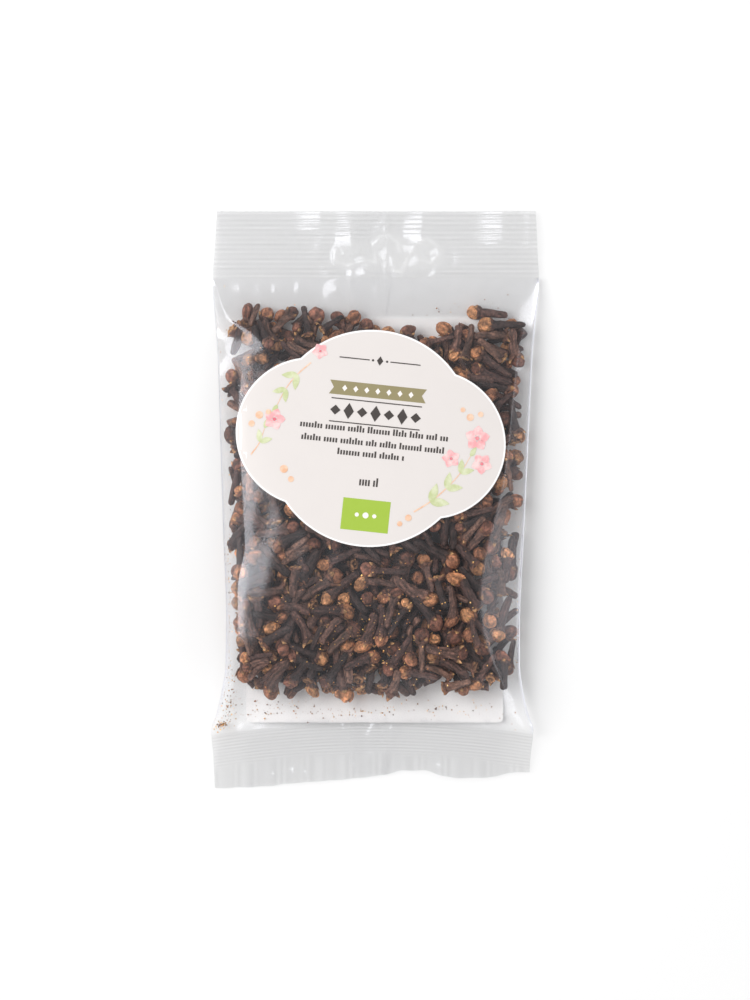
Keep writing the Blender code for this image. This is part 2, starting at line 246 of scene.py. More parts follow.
def through(stations, at):
    """Values on a monotone curve through (place, value) pairs, for an array of places."""
    places, values = (np.array(column, float) for column in zip(*stations))
    at = np.clip(np.asarray(at, float), places[0], places[-1])
    widths = np.diff(places)
    secants = np.diff(values) / widths
    tangents = np.zeros(len(places))
    tangents[0], tangents[-1] = secants[0], secants[-1]
    product = secants[:-1] * secants[1:]
    total = np.where(product > 0, secants[:-1] + secants[1:], 1.0)
    tangents[1:-1] = np.where(product > 0, 2 * product / total, 0.0)
    index = np.clip(np.searchsorted(places, at, side="right") - 1, 0, len(widths) - 1)
    width = widths[index]
    s = (at - places[index]) / width
    return (
        values[index] * (2 * s**3 - 3 * s**2 + 1)
        + tangents[index] * width * (s**3 - 2 * s**2 + s)
        + values[index + 1] * (3 * s**2 - 2 * s**3)
        + tangents[index + 1] * width * (s**3 - s**2)
    )


def step_between(low, high, at):
    """0 up to low, 1 from high, and a smooth rise between."""
    s = np.clip((np.asarray(at, float) - low) / (high - low), 0.0, 1.0)
    return s * s * (3 - 2 * s)


def band(at, middle, spread):
    """A smooth band: 1 in its middle, and close to nothing two spreads away."""
    return np.exp(-(((at - middle) / spread) ** 2))


def outline_shift():
    """Puts the middle of the bag's outline over the origin."""
    y = np.arange(int(BAG_LENGTH) + 1) - BAG_LENGTH / 2
    half = through(HALF_WIDTH, y)
    return -((LEAN * y - half).min() + (LEAN * y + half).max()) / 2


OUTLINE_SHIFT = outline_shift()


def middle_x(y):
    """The bag's middle line, which leans a little."""
    return LEAN * y + OUTLINE_SHIFT


def foot_bow(x):
    """How far the foot seal's root bends down towards its ends."""
    return FOOT_SEAL_BOW * (x / BOW_REACH) ** 2


def bow_share(y):
    """How much of the foot seal's bow is left: all of it at the seal, and none higher up the bag."""
    return np.clip((BOW_TOP - y) / BOW_FADE, 0.0, 1.0)


def station_of(x, y):
    """The station along the bag: its place along a bag whose foot seal has no bow."""
    return y + foot_bow(x) * bow_share(y)


def front_share(u, crease, sink, lateness, rounding):
    """Height of the upper film as a share of the thickness, u from the middle (0) to the edge (1).

    The front panel is slightly domed, the side facet falls to the edge, and the crease between is rounded.
    """
    panel = 1.0 - sink * (u / crease) ** lateness
    facet = 1.0 - sink - (1.0 - sink - EDGE_HEIGHT) * (u - crease) / (1.0 - crease)
    mix = np.clip(0.5 + 0.5 * (facet - panel) / rounding, 0.0, 1.0)
    return facet * (1 - mix) + panel * mix - rounding * mix * (1 - mix)


def back_share(u):
    """Height of the lower film as a share of the thickness: flat on the table, then up to the edge."""
    s = np.clip((u - FLAT_BACK) / (1.0 - FLAT_BACK), 0.0, 1.0)
    return EDGE_HEIGHT * (1.0 - np.sqrt(1.0 - s * s))


def back_lift(x, station):
    """Height of the lower film over the table, with a slow wave in both seals, deeper in the foot seal."""
    wave = SEAL_WAVE * np.sin(2 * math.pi * x / SEAL_WAVELENGTH + SEAL_CURL * station)
    in_seal = step_between(64.5, 67.5, np.abs(station))
    return through(BACK_LIFT, station) + in_seal * wave * np.where(station > 0, 0.5, 1.0)


def film_heights(x, y):
    """(lower, upper) height of the plain bag over the places (x, y)."""
    x, y = np.broadcast_arrays(np.asarray(x, float), np.asarray(y, float))
    station = station_of(x, y)
    u = (x - middle_x(y)) / through(HALF_WIDTH, y)
    share = np.clip(np.abs(u), 0.0, 1.0)
    crease = np.where(u < 0, through(LEFT_CREASE, station), through(RIGHT_CREASE, station))
    panel = [np.where(u < 0, left, right) for left, right in zip(LEFT_PANEL, RIGHT_PANEL)]
    thickness = through(FILL_THICKNESS, station)
    base = back_lift(x, station)
    upper = base + FILM_PAIR + thickness * front_share(share, crease, *panel)
    lower = base + thickness * back_share(share)
    return lower, upper


def slot_signed(x, y):
    """Rough distance from the hang slot's edge, less than nothing inside it."""
    px, py = x - SLOT_CENTRE[0], y - SLOT_CENTRE[1]
    lobe = SLOT_LOBE_HEIGHT / 2
    bar = np.hypot(np.maximum(np.abs(px) - (SLOT_LENGTH / 2 - lobe), 0), py) - lobe
    bump_radius = SLOT_BUMP_WIDTH / 2
    bump_y = py - (lobe + SLOT_BUMP_HEIGHT - bump_radius)
    bump = np.hypot(px, bump_y) - bump_radius
    return np.minimum(bar, bump)


def under_label(x, y):
    """1 under the front label, which keeps the film smooth, and 0 a few millimetres outside it."""
    dx, dy = x - LABEL_CENTRE[0], y - LABEL_CENTRE[1]
    p = dx * math.cos(LABEL_TURN) + dy * math.sin(LABEL_TURN)
    q = -dx * math.sin(LABEL_TURN) + dy * math.cos(LABEL_TURN)
    wide = np.hypot(np.abs(p) - WIDE_DISC_OFFSET, q) - WIDE_DISC_RADIUS
    tall = np.hypot(p, np.abs(q) - TALL_DISC_OFFSET) - TALL_DISC_RADIUS
    return 1 - step_between(0.3, 3.5, np.minimum(wide, tall))


def fold_relief(x, y):
    """Sharp little folds along the fold lines, which fade out at both ends."""
    relief = np.zeros(np.shape(x))
    for (x0, y0), (x1, y1), width, height in FOLDS:
        length = math.hypot(x1 - x0, y1 - y0)
        along = ((x - x0) * (x1 - x0) + (y - y0) * (y1 - y0)) / length
        aside = ((x - x0) * (y1 - y0) - (y - y0) * (x1 - x0)) / length
        fade = max(0.25 * length, min(FOLD_FADE, 0.5 * length))
        ends = step_between(0.0, fade, along) * (1 - step_between(length - fade, length, along))
        relief = relief + height * ends * np.exp(-np.abs(aside / width) ** 1.5)
    return relief


def creased(x, y, creases):
    """Height of a sheet creased in zigzags, with flat flanks and creases that wander."""
    height = 0.0
    for pitch, turn, bend, depth in creases:
        across = x * math.cos(turn) + y * math.sin(turn)
        along = y * math.cos(turn) - x * math.sin(turn)
        phase = 2 * math.pi * (across + bend * np.sin(0.35 * along + 3 * turn)) / pitch
        height = height + depth * (pitch * np.arcsin(np.sin(phase)) / (2 * math.pi))
    return height


def flap_lines(x, y):
    """Up to 1 on the sharp lines that the slot's flap is crumpled along, and 0 away from them."""
    nearest = np.full(np.shape(x), 9.0)
    for line in FLAP_LINES:
        for (x0, y0), (x1, y1) in zip(line, line[1:]):
            length = math.hypot(x1 - x0, y1 - y0)
            along = ((x - x0) * (x1 - x0) + (y - y0) * (y1 - y0)) / length
            along = np.clip(along, 0.0, length) / length
            gap = np.hypot(x - x0 - along * (x1 - x0), y - y0 - along * (y1 - y0))
            nearest = np.minimum(nearest, gap)
    uneven = 0.62 + 0.38 * np.sin(1.1 * x + 0.8) * np.sin(0.9 * y + 0.35 * x)
    return uneven * band(nearest, 0.0, FLAP_LINE_WIDTH)


def slot_relief(x, y, header):
    """The hang slot's flap, which is still in place: crumpled in creased facets between sharp lines."""
    signed = slot_signed(x, y)
    flap = step_between(0.0, 0.7, 1.0 - signed)
    near = (1 - step_between(2.5, 8.5, signed)) * step_between(0.0, 1.5, header) * (1 - flap)
    crumple = flap * (CREASE_SHARE * creased(x, y, FLAP_CREASES) + FLAP_LIFT)
    return FLAP_LINE_HEIGHT * flap_lines(x, y) + crumple + CREASE_SHARE * near * creased(x, y, ROUND_CREASES)


def seal_ripple(x, y, header, foot):
    """The rows pressed into both seals, from -1 to 1 and deeper where the jaws bit harder."""
    plain = step_between(1.0, 5.0, slot_signed(x, y))
    strong = 1.0
    for middle, spread, more in HARD_BITES:
        strong = strong + more * band(x, middle, spread)
    strong = strong * (0.75 + 0.25 * np.sin(0.31 * x + 1.3 * y))
    rows = np.sin(2 * math.pi * header / HEADER_CRIMP_PITCH) * plain * strong * step_between(0.2, 1.2, header)
    fine = np.sin(2 * math.pi * foot / FOOT_CRIMP_PITCH) * (0.8 + 0.3 * np.sin(0.27 * x + 0.6 * y))
    below_rows = 0.8 * step_between(7.5, 11.0, foot)
    return rows + FOOT_CRIMP_SHARE * fine * step_between(0.2, 1.0, foot) * (1 - below_rows)


def film_sheen(x, y, foot, in_seal):
    """How much of its sheen the film has left, or has gained."""
    share = np.abs(x - middle_x(y)) / through(HALF_WIDTH, y)
    flap = (1 - step_between(0.5, 2.5, slot_signed(x, y))) * (1 - flap_lines(x, y))
    corner = step_between(0.78, 0.86, share) * step_between(-10.0, -7.0, foot)
    dull = band(x, 22.0, 5.0) * step_between(0.0, 8.0, -foot) * (1 - step_between(-14.0, -8.0, y))
    bright = band(x, -39.5, 2.6) * step_between(-48.0, -42.0, y) * (1 - step_between(-22.0, -14.0, y))
    gloss = (1 - SEAL_SHEEN_LOSS * in_seal) * (1 - FLAP_SHEEN_LOSS * flap) * (1 - CORNER_SHEEN_LOSS * corner)
    gloss = gloss * (1 - DULL_BAND_LOSS * dull) * (1 + BRIGHT_BAND_GAIN * bright)
    left, right = EDGE_SHEEN
    edge = np.where(x > 0, right, left) * band(share, 1.0, EDGE_SHEEN_WIDTH)
    return gloss + edge * (1 - in_seal) * step_between(-2.0, 2.0, -foot)


def film_marks(x, y, top):
    """Two values at each place of a film: how much of its sheen is left, and how much light it takes, with
    painted shade in the seals' rows and below the header seal, and painted light on the flap's lines and the
    slope to the foot seal.
    """
    station = station_of(x, y)
    header, foot = station - HEADER_ROOT, FOOT_ROOT - station
    in_seal = step_between(0.0, 0.8, np.abs(station) - HEADER_ROOT)
    gloss = film_sheen(x, y, foot, in_seal)
    rows = np.clip(seal_ripple(x, y, header, foot), -1, 1)
    uneven = 0.55 + 0.45 * np.sin(1.9 * station + 0.9 * np.sin(0.11 * x)) * np.sin(0.7 * station + 0.05 * x)
    streaks = np.sin(2.3 * x + 1.6 * np.sin(0.9 * x)) * np.sin(0.31 * x + 1.0) * step_between(8.0, 12.0, foot)
    # Painted shade: the film just below the header seal is darker.
    under_header_shade = step_between(-14.0, -9.0, header) * (1 - in_seal)
    loss_and_painted_shading = FILM_LIGHT_LOSS + UNDER_HEADER_PAINTED_SHADE * under_header_shade + SEAL_LIGHT_LOSS * in_seal
    # Painted shade in the seals' pressed rows, darker and lighter in turn, and painted streaks of light and
    # shade near the foot seal's cut.
    foot_row_shade = FOOT_ROW_PAINTED_SHADE * rows * (0.4 + uneven) + FOOT_STREAK_PAINTED_SHADING * streaks + 0.02
    painted_row_shade = np.where(foot > 0, foot_row_shade, HEADER_ROW_PAINTED_SHADE * rows * uneven)
    # The flap's sharp lines take less light than the seal around them, which paints them as lighter lines:
    # painted highlight.
    loss_and_painted_shading = loss_and_painted_shading + painted_row_shade * in_seal - SEAL_LIGHT_LOSS * flap_lines(x, y)
    if top:
        # On the slope down to the foot seal the upper film takes no light, which lightens what shows through
        # it against the heap's shade: painted light.
        slope = step_between(-8.0, -5.0, foot) * (1 - step_between(-2.0, 1.0, foot))
        return gloss * (1 - 0.4 * slope), loss_and_painted_shading * (1 - slope)
    half_width, half_length = (size / 2 for size in BACK_LABEL_SIZE)
    aside, along = np.abs(x - BACK_LABEL_CENTRE[0]), np.abs(y - BACK_LABEL_CENTRE[1])
    glued = (aside < half_width) & (along < half_length)
    return np.where(glued, 0.05, gloss), np.where(glued, 0.0, loss_and_painted_shading)


def film_relief(x, y, upper):
    """Fine relief of the film: seal crimps, the slot's flap, folds, gathers and soft lumps."""
    station = station_of(x, y)
    header = station - HEADER_ROOT
    foot = FOOT_ROOT - station
    relief = CRIMP_DEPTH * seal_ripple(x, y, header, foot)
    relief = relief + slot_relief(x, y, header) + fold_relief(x, y)

    # Gathers run down from the header seal, and up from the foot seal.
    u = (x - middle_x(y)) / through(HALF_WIDTH, y)
    inner = 1 - step_between(0.86, 0.99, np.abs(u))
    for away, (reach, start, height, pitch, sway, slowness, phase) in zip((-header, -foot), GATHERS):
        fade = np.exp(-np.clip(away, 0, None) / reach) * step_between(0.0, start, away)
        wander = sway * np.sin(slowness * x + phase)
        relief = relief + inner * fade * height * np.sin(2 * math.pi * x / pitch + wander)

    # Soft lumps where the cloves press the film.
    body = step_between(1.0, 9.0, -header) * step_between(1.0, 9.0, -foot) * (1 - under_label(x, y))
    lumps = np.sin(0.52 * x + 0.06 * y) * np.sin(0.13 * x - 0.16 * y + 1.7)
    lumps = lumps + 0.4 * np.sin(0.31 * x - 0.22 * y)
    return relief + body * (UPPER_LUMPS if upper else LOWER_LUMPS) * lumps


def visible_heights(x, y):
    """(lower, upper) height of the film as it is drawn, with its relief, over the back label."""
    lower, upper = film_heights(x, y)
    in_seal = step_between(65.5, 67.0, np.abs(station_of(x, y)))
    drop = (FILM_PAIR - BACK_LABEL_THICKNESS - 0.04) * (1 - in_seal)
    upper = upper + film_relief(x, y, True)
    lower = lower - drop + film_relief(x, y, False)
    lower = np.maximum(lower, np.where(in_seal > 0, 0.05, BACK_LABEL_THICKNESS + 0.03))
    film_gap = 0.1 + 0.25 * (1 - in_seal)
    return np.minimum(lower, upper - film_gap), upper


def mesh_from(name, vertices, faces, smooth=True):
    """A mesh from vertices in millimetres and faces as an array or as a list of arrays."""
    mesh = bpy.data.meshes.new(name)
    groups = faces if isinstance(faces, list) else [faces]
    corners = np.concatenate([np.asarray(group, np.int64).ravel() for group in groups])
    sizes = np.concatenate([np.full(len(group), np.shape(group)[1]) for group in groups])
    mesh.vertices.add(len(vertices))
    mesh.vertices.foreach_set("co", (np.asarray(vertices, float) * MM).ravel())
    mesh.loops.add(len(corners))
    mesh.loops.foreach_set("vertex_index", corners)
    mesh.polygons.add(len(sizes))
    mesh.polygons.foreach_set("loop_start", np.concatenate(([0], np.cumsum(sizes)[:-1])))
    mesh.update(calc_edges=True)
    mesh.validate()
    mesh.polygons.foreach_set("use_smooth", np.full(len(mesh.polygons), smooth))
    return mesh


def add_piece(name, solid, material, replaces=None):
    """A piece of the bag from its (vertices, faces). It rides on the one body. Gives its mesh back."""
    mesh = mesh_from(name, *solid)
    mesh.materials.append(material)
    piece = bpy.data.objects.new(name, mesh)
    bpy.context.scene.collection.objects.link(piece)
    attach(piece, "root")
    if replaces:
        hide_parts(replaces)
    return mesh


def linear(code):
    """An sRGB hex colour as linear red, green, blue and alpha."""
    channels = [int(code[i : i + 2], 16) / 255 for i in (1, 3, 5)]
    return (*[c / 12.92 if c <= 0.04045 else ((c + 0.055) / 1.055) ** 2.4 for c in channels], 1.0)


def new_material(name):
    """A material with an empty node tree."""
    material = bpy.data.materials.new(name)
    material.use_nodes = True
    material.node_tree.nodes.clear()
    return material, material.node_tree


def add_node(tree, kind, inputs=None, **settings):
    """Adds a node: settings are its own properties, inputs are values or the sockets that feed them."""
    made = tree.nodes.new(kind)
    for name, value in settings.items():
        setattr(made, name, value)
    for name, value in (inputs or {}).items():
        if isinstance(value, bpy.types.NodeSocket):
            tree.links.new(value, made.inputs[name])
        else:
            made.inputs[name].default_value = value
    return made


def polypropylene_film(name, reflectance):
    """Cast polypropylene film, 40 micrometres thick: clear, with a soft sheen off every fold.

    Its two faces send back about 8% of the light head on, and far more at a grazing angle. Where a label
    is glued to it or it is welded to more film, some of the sheen is lost. It takes some light, more in the
    seals; painted shade darkens the seals' pressed rows and the film below the header seal, and painted
    light lightens the flap's lines and the slope down to the foot seal.
    """
    material, tree = new_material(name)
    facing = add_node(tree, "ShaderNodeLayerWeight", {"Blend": 0.5})
    grazing = add_node(tree, "ShaderNodeMath", {0: facing.outputs["Facing"], 1: 5.0}, operation="POWER")
    share = add_node(
        tree, "ShaderNodeMath", {0: grazing.outputs[0], 1: 0.9, 2: reflectance}, operation="MULTIPLY_ADD",
    )
    gloss = add_node(tree, "ShaderNodeAttribute", attribute_name="film_gloss")
    left = add_node(
        tree, "ShaderNodeMath", {0: share.outputs[0], 1: gloss.outputs["Fac"]}, operation="MULTIPLY",
    )
    loss_and_painted_shading = add_node(tree, "ShaderNodeAttribute", attribute_name="film_loss_and_painted_shading")
    tint = add_node(
        tree, "ShaderNodeMix",
        {"Factor": loss_and_painted_shading.outputs["Fac"], "A": linear("#ffffff"), "B": linear("#f0f0f0")}, data_type="RGBA",
    )
    clear = add_node(tree, "ShaderNodeBsdfTransparent", {"Color": tint.outputs["Result"]})
    sheen = add_node(tree, "ShaderNodeBsdfGlossy", {"Color": linear("#f7f8ff"), "Roughness": 0.18})
    mix = add_node(
        tree, "ShaderNodeMixShader", {0: left.outputs[0], 1: clear.outputs[0], 2: sheen.outputs[0]},
    )
    add_node(tree, "ShaderNodeOutputMaterial", {"Surface": mix.outputs[0]})
    return material


def coated_label_stock(name, colour, deep):
    """Coated white label stock: smooth and satin, with a faint mottle from the coating, 9 mm wide.

    The fibres under the coating, 0.35 mm wide, barely show.
    """
    material, tree = new_material(name)
    place = add_node(tree, "ShaderNodeTexCoord")
    mottle = add_node(
        tree, "ShaderNodeTexNoise", {"Vector": place.outputs["Object"], "Scale": 1 / (9 * MM), "Detail": 3.0},
    )
    tone = add_node(
        tree, "ShaderNodeMix",
        {"Factor": mottle.outputs["Fac"], "A": linear(colour), "B": linear(deep)}, data_type="RGBA",
    )
    fibre = add_node(
        tree, "ShaderNodeTexNoise",
        {"Vector": place.outputs["Object"], "Scale": 1 / (0.35 * MM), "Detail": 2.0},
    )
    bump = add_node(
        tree, "ShaderNodeBump", {"Height": fibre.outputs["Fac"], "Distance": 0.01 * MM, "Strength": 0.3},
    )
    shader = add_node(
        tree, "ShaderNodeBsdfPrincipled",
        {"Base Color": tone.outputs["Result"], "Roughness": 0.5, "IOR": 1.48, "Normal": bump.outputs[0]},
    )
    add_node(tree, "ShaderNodeOutputMaterial", {"Surface": shader.outputs[0]})
    return material


def printing_ink(name, colour, wash, spread):
    """Printing ink on coated stock: an even film, or with a low spread a watery wash that pools."""
    material, tree = new_material(name)
    place = add_node(tree, "ShaderNodeTexCoord")
    pools = add_node(
        tree, "ShaderNodeTexNoise",
        {"Vector": place.outputs["Object"], "Scale": 1 / (2.6 * MM), "Detail": 4.0, "Roughness": 0.6},
    )
    share = add_node(
        tree, "ShaderNodeMapRange",
        {"Value": pools.outputs["Fac"], "From Min": 0.5 - spread, "From Max": 0.5 + spread},
    )
    tone = add_node(
        tree, "ShaderNodeMix",
        {"Factor": share.outputs["Result"], "A": linear(colour), "B": linear(wash)}, data_type="RGBA",
    )
    shader = add_node(
        tree, "ShaderNodeBsdfPrincipled",
        {"Base Color": tone.outputs["Result"], "Roughness": 0.45, "IOR": 1.48},
    )
    add_node(tree, "ShaderNodeOutputMaterial", {"Surface": shader.outputs[0]})
    return material


def dried_clove(name):
    """Dried clove buds: dull, wrinkled and oily brown stems, with paler, rusty heads.

    Each clove's own tone, with the painted shade of its hollows and seams, and its place on the clove, in
    millimetres, are kept on the mesh, so the grain moves with the clove. The grain is 0.75 mm wide, its
    patches 2.4 mm, and the wrinkles, which run along the stem, 0.42 mm.
    """
    material, tree = new_material(name)
    tone = add_node(tree, "ShaderNodeAttribute", attribute_name="clove_tone_and_painted_shading")
    place = add_node(tree, "ShaderNodeAttribute", attribute_name="clove_place")
    grain = add_node(
        tree, "ShaderNodeTexNoise",
        {"Vector": place.outputs["Vector"], "Scale": 1 / 0.75, "Detail": 4.0, "Roughness": 0.75},
    )
    patches = add_node(
        tree, "ShaderNodeTexNoise", {"Vector": place.outputs["Vector"], "Scale": 1 / 2.4, "Detail": 3.0},
    )
    grain_gain = add_node(
        tree, "ShaderNodeMapRange",
        {"Value": grain.outputs["Fac"], "From Min": 0.34, "From Max": 0.66, "To Min": 0.32, "To Max": 1.95},
    )
    patch_gain = add_node(
        tree, "ShaderNodeMapRange",
        {"Value": patches.outputs["Fac"], "From Min": 0.3, "From Max": 0.7, "To Min": 0.78, "To Max": 1.26},
    )
    gain = add_node(
        tree, "ShaderNodeMath", {0: grain_gain.outputs[0], 1: patch_gain.outputs[0]}, operation="MULTIPLY",
    )
    colour = add_node(
        tree, "ShaderNodeVectorMath", {0: tone.outputs["Color"], "Scale": gain.outputs[0]}, operation="SCALE",
    )
    stretched = add_node(
        tree, "ShaderNodeMapping", {"Vector": place.outputs["Vector"], "Scale": (1.0, 1.0, 0.3)},
    )
    wrinkles = add_node(
        tree, "ShaderNodeTexNoise",
        {"Vector": stretched.outputs[0], "Scale": 1 / 0.42, "Detail": 4.0, "Roughness": 0.65},
    )
    bump = add_node(
        tree, "ShaderNodeBump", {"Height": wrinkles.outputs["Fac"], "Distance": 0.5 * MM, "Strength": 1.0},
    )
    shader = add_node(
        tree, "ShaderNodeBsdfPrincipled",
        {"Base Color": colour.outputs[0], "Roughness": 0.55, "IOR": 1.4, "Normal": bump.outputs[0]},
    )
    add_node(tree, "ShaderNodeOutputMaterial", {"Surface": shader.outputs[0]})
    return material


def painted_sweep(name):
    """The studio floor: matt white paint, without any pattern that shows at this distance."""
    material, tree = new_material(name)
    shader = add_node(tree, "ShaderNodeBsdfDiffuse", {"Color": linear("#f6f6f6"), "Roughness": 0.3})
    add_node(tree, "ShaderNodeOutputMaterial", {"Surface": shader.outputs[0]})
    return material


def cut_line(x):
    """The foot seal's cut edge: stepped where the knife tore it, and finely ragged."""
    stations = tuple((place, -BAG_LENGTH / 2 + rise) for place, rise in FOOT_CUT)
    return through(stations, x) + 0.13 * np.abs(np.sin(2.6 * x)) * np.sin(0.9 * x + 1.0)


def film_columns(station):
    """Places across the bag, with a column on each crease."""
    half = FILM_COLUMNS // 2
    left, right = float(through(LEFT_CREASE, station)), float(through(RIGHT_CREASE, station))
    facet = half // 6
    return np.concatenate((
        np.linspace(-1.0, -left, facet, endpoint=False),
        np.linspace(-left, 0.0, half - facet, endpoint=False),
        np.linspace(0.0, right, half - facet, endpoint=False),
        np.linspace(right, 1.0, facet + 1),
    ))


def film_places():
    """(x, y) of the film's grid: rows run from the foot's cut edge to the header's edge."""
    body = np.linspace(FOOT_ROOT, HEADER_ROOT, int((HEADER_ROOT - FOOT_ROOT) / BODY_STEP))
    header = np.arange(HEADER_ROOT + HEADER_STEP, BAG_LENGTH / 2 - 0.5 * HEADER_STEP, HEADER_STEP)
    rows = []
    for station in np.concatenate((body, header, [BAG_LENGTH / 2])):
        columns = film_columns(station)
        y = np.full(len(columns), float(station))
        for _ in range(PLACING_ROUNDS):
            x = middle_x(y) + columns * through(HALF_WIDTH, y)
            y = station - foot_bow(x) * bow_share(y)
        rows.append(np.stack((x, y), axis=-1))
    # The header's cut edge is finely ragged.
    rows[-1][:, 1] += 0.1 * np.sin(7.3 * rows[-1][:, 0]) * np.sin(2.1 * rows[-1][:, 0])
    columns = film_columns(FOOT_ROOT)
    root_y = rows[0][:, 1]
    foot = []
    for share in np.linspace(1.0, 0.0, FOOT_ROWS, endpoint=False):
        y = root_y
        for _ in range(PLACING_ROUNDS):
            x = middle_x(y) + columns * through(HALF_WIDTH, y)
            y = root_y - share * (root_y - cut_line(x))
        foot.append(np.stack((x, y), axis=-1))
    return np.array(foot + rows)


def grid_solid(x, y, upper, lower):
    """Vertices and faces of a thin closed body over a grid of places, between two heights."""
    rows, columns = x.shape
    top = np.stack((x, y, upper), axis=-1).reshape(-1, 3)
    bottom = np.stack((x, y, lower), axis=-1).reshape(-1, 3)
    index = np.arange(rows * columns).reshape(rows, columns)
    quads = np.stack((index[:-1, :-1], index[:-1, 1:], index[1:, 1:], index[1:, :-1]), axis=-1).reshape(-1, 4)
    rim = np.concatenate((index[0, :-1], index[:-1, -1], index[-1, :0:-1], index[:0:-1, 0]))
    following = np.roll(rim, -1)
    wall = np.stack((following, rim, rim + rows * columns, following + rows * columns), axis=-1)
    faces = np.concatenate((quads, quads[:, (0, 3, 2, 1)] + rows * columns, wall))
    return np.concatenate((top, bottom)), faces


def mark_film(mesh, above, below):
    """Keeps the film's sheen, and its loss of light with the painted light and shade, on the mesh, for its
    upper and lower faces.
    """
    for name, first, second in zip(("film_gloss", "film_loss_and_painted_shading"), above, below):
        values = mesh.attributes.new(name, "FLOAT", "POINT")
        values.data.foreach_set("value", np.concatenate((first.ravel(), second.ravel())))


def make_film(material):
    """The clear film: a closed skin, crimped flat at both ends."""
    places = film_places()
    x, y = places[..., 0], places[..., 1]
    lower, upper = visible_heights(x, y)
    mesh = add_piece("film", grid_solid(x, y, upper, lower), material, replaces="bag")
    mark_film(mesh, film_marks(x, y, True), film_marks(x, y, False))


def make_fin_seam(material):
    """The seam down the back, where the film's two edges are welded and folded flat."""
    x_row = np.linspace(FIN_SEAM_LEFT, FIN_SEAM_RIGHT, FIN_SEAM_COLUMNS)
    y_column = np.concatenate((
        np.arange(-BAG_LENGTH / 2 + FOOT_CUT_RISE, FOOT_ROOT, 0.3),
        np.arange(FOOT_ROOT, HEADER_ROOT, 2.0),
        np.arange(HEADER_ROOT, BAG_LENGTH / 2 - 0.1, 0.4),
    ))
    x, y = np.meshgrid(x_row, y_column)
    y = np.maximum(y, cut_line(x) + 0.1)
    upper = visible_heights(x, y)[0] - 0.01
    solid = grid_solid(x, y, upper, upper - FIN_SEAM_THICKNESS)
    mesh = add_piece("fin_seam", solid, material)
    even = (np.ones(x.shape), np.zeros(x.shape))
    mark_film(mesh, even, even)


def cloud_outline(inset=0.0, steps=40):
    """The front label's outline: the outer arcs of four overlapping discs, in the label's own places."""
    discs = (
        (WIDE_DISC_OFFSET, 0.0, WIDE_DISC_RADIUS - inset),
        (0.0, TALL_DISC_OFFSET, TALL_DISC_RADIUS - inset),
        (-WIDE_DISC_OFFSET, 0.0, WIDE_DISC_RADIUS - inset),
        (0.0, -TALL_DISC_OFFSET, TALL_DISC_RADIUS - inset),
    )
    notches = []
    for (ax, ay, ar), (bx, by, br) in zip(discs, discs[1:] + discs[:1]):
        gap = math.hypot(bx - ax, by - ay)
        along = (ar**2 - br**2 + gap**2) / (2 * gap)
        out = math.sqrt(ar**2 - along**2)
        ux, uy = (bx - ax) / gap, (by - ay) / gap
        crossings = [
            (ax + along * ux - side * out * uy, ay + along * uy + side * out * ux) for side in (-1, 1)
        ]
        notches.append(max(crossings, key=lambda p: math.hypot(*p)))
    points = []
    for i, (cx, cy, radius) in enumerate(discs):
        start = math.atan2(notches[i - 1][1] - cy, notches[i - 1][0] - cx)
        end = math.atan2(notches[i][1] - cy, notches[i][0] - cx)
        angles = start + ((end - start) % (2 * math.pi)) * np.arange(steps) / steps
        points += [(cx + radius * math.cos(a), cy + radius * math.sin(a)) for a in angles]
    return np.array(points)


def on_label(points):
    """Places of the label on the bag."""
    points = np.asarray(points, float)
    p, q = points[:, 0], points[:, 1]
    x = p * math.cos(LABEL_TURN) - q * math.sin(LABEL_TURN) + LABEL_CENTRE[0]
    y = p * math.sin(LABEL_TURN) + q * math.cos(LABEL_TURN) + LABEL_CENTRE[1]
    return np.stack((x, y), axis=-1)


def inside(points, outline, margin):
    """Which points lie in a closed outline and at least margin from it."""
    a, b = outline, np.roll(outline, -1, axis=0)
    x, y = points[:, 0:1], points[:, 1:2]
    spans = (a[:, 1] > y) != (b[:, 1] > y)
    slope = (b[:, 0] - a[:, 0]) / np.where(b[:, 1] == a[:, 1], 1e-9, b[:, 1] - a[:, 1])
    crossings = spans & (x < slope * (y - a[:, 1]) + a[:, 0])
    within = crossings.sum(axis=1) % 2 == 1
    edge = b - a
    length = np.maximum((edge**2).sum(axis=1), 1e-12)
    s = np.clip(((x - a[:, 0]) * edge[:, 0] + (y - a[:, 1]) * edge[:, 1]) / length, 0, 1)
    gap = np.hypot(x - a[:, 0] - s * edge[:, 0], y - a[:, 1] - s * edge[:, 1]).min(axis=1)
    return within & (gap >= margin)


def sheet_net(outline, step):
    """Points and triangles that fill an outline with a net of the given step."""
    low, high = outline.min(axis=0), outline.max(axis=0)
    gx, gy = np.meshgrid(np.arange(low[0], high[0], step), np.arange(low[1], high[1], step))
    grid = np.stack((gx.ravel(), gy.ravel()), axis=-1)
    grid = grid[inside(grid, outline, 0.45 * step)]
    points = [Vector(p) for p in np.concatenate((outline, grid))]
    rim = [(i, (i + 1) % len(outline)) for i in range(len(outline))]
    net, _, faces, *_ = delaunay_2d_cdt(points, rim, [], 1, 1e-6)
    return np.array(net), np.array([face for face in faces if len(face) == 3])


def sheet_solid(net, faces, rim_count, near, far):
    """Vertices and faces of a thin closed sheet between two heights over a net, with crisp edges."""
    count = len(net)
    face = np.column_stack((net, far))
    back = np.column_stack((net, near))
    vertices = np.concatenate((face, back, face[:rim_count], back[:rim_count]))
    rim = 2 * count + np.arange(rim_count)
    following = np.roll(rim, -1)
    wall_a = np.stack((following, rim, rim + rim_count), axis=-1)
    wall_b = np.stack((following, rim + rim_count, following + rim_count), axis=-1)
    return vertices, np.concatenate((faces, faces[:, ::-1] + count, wall_a, wall_b))


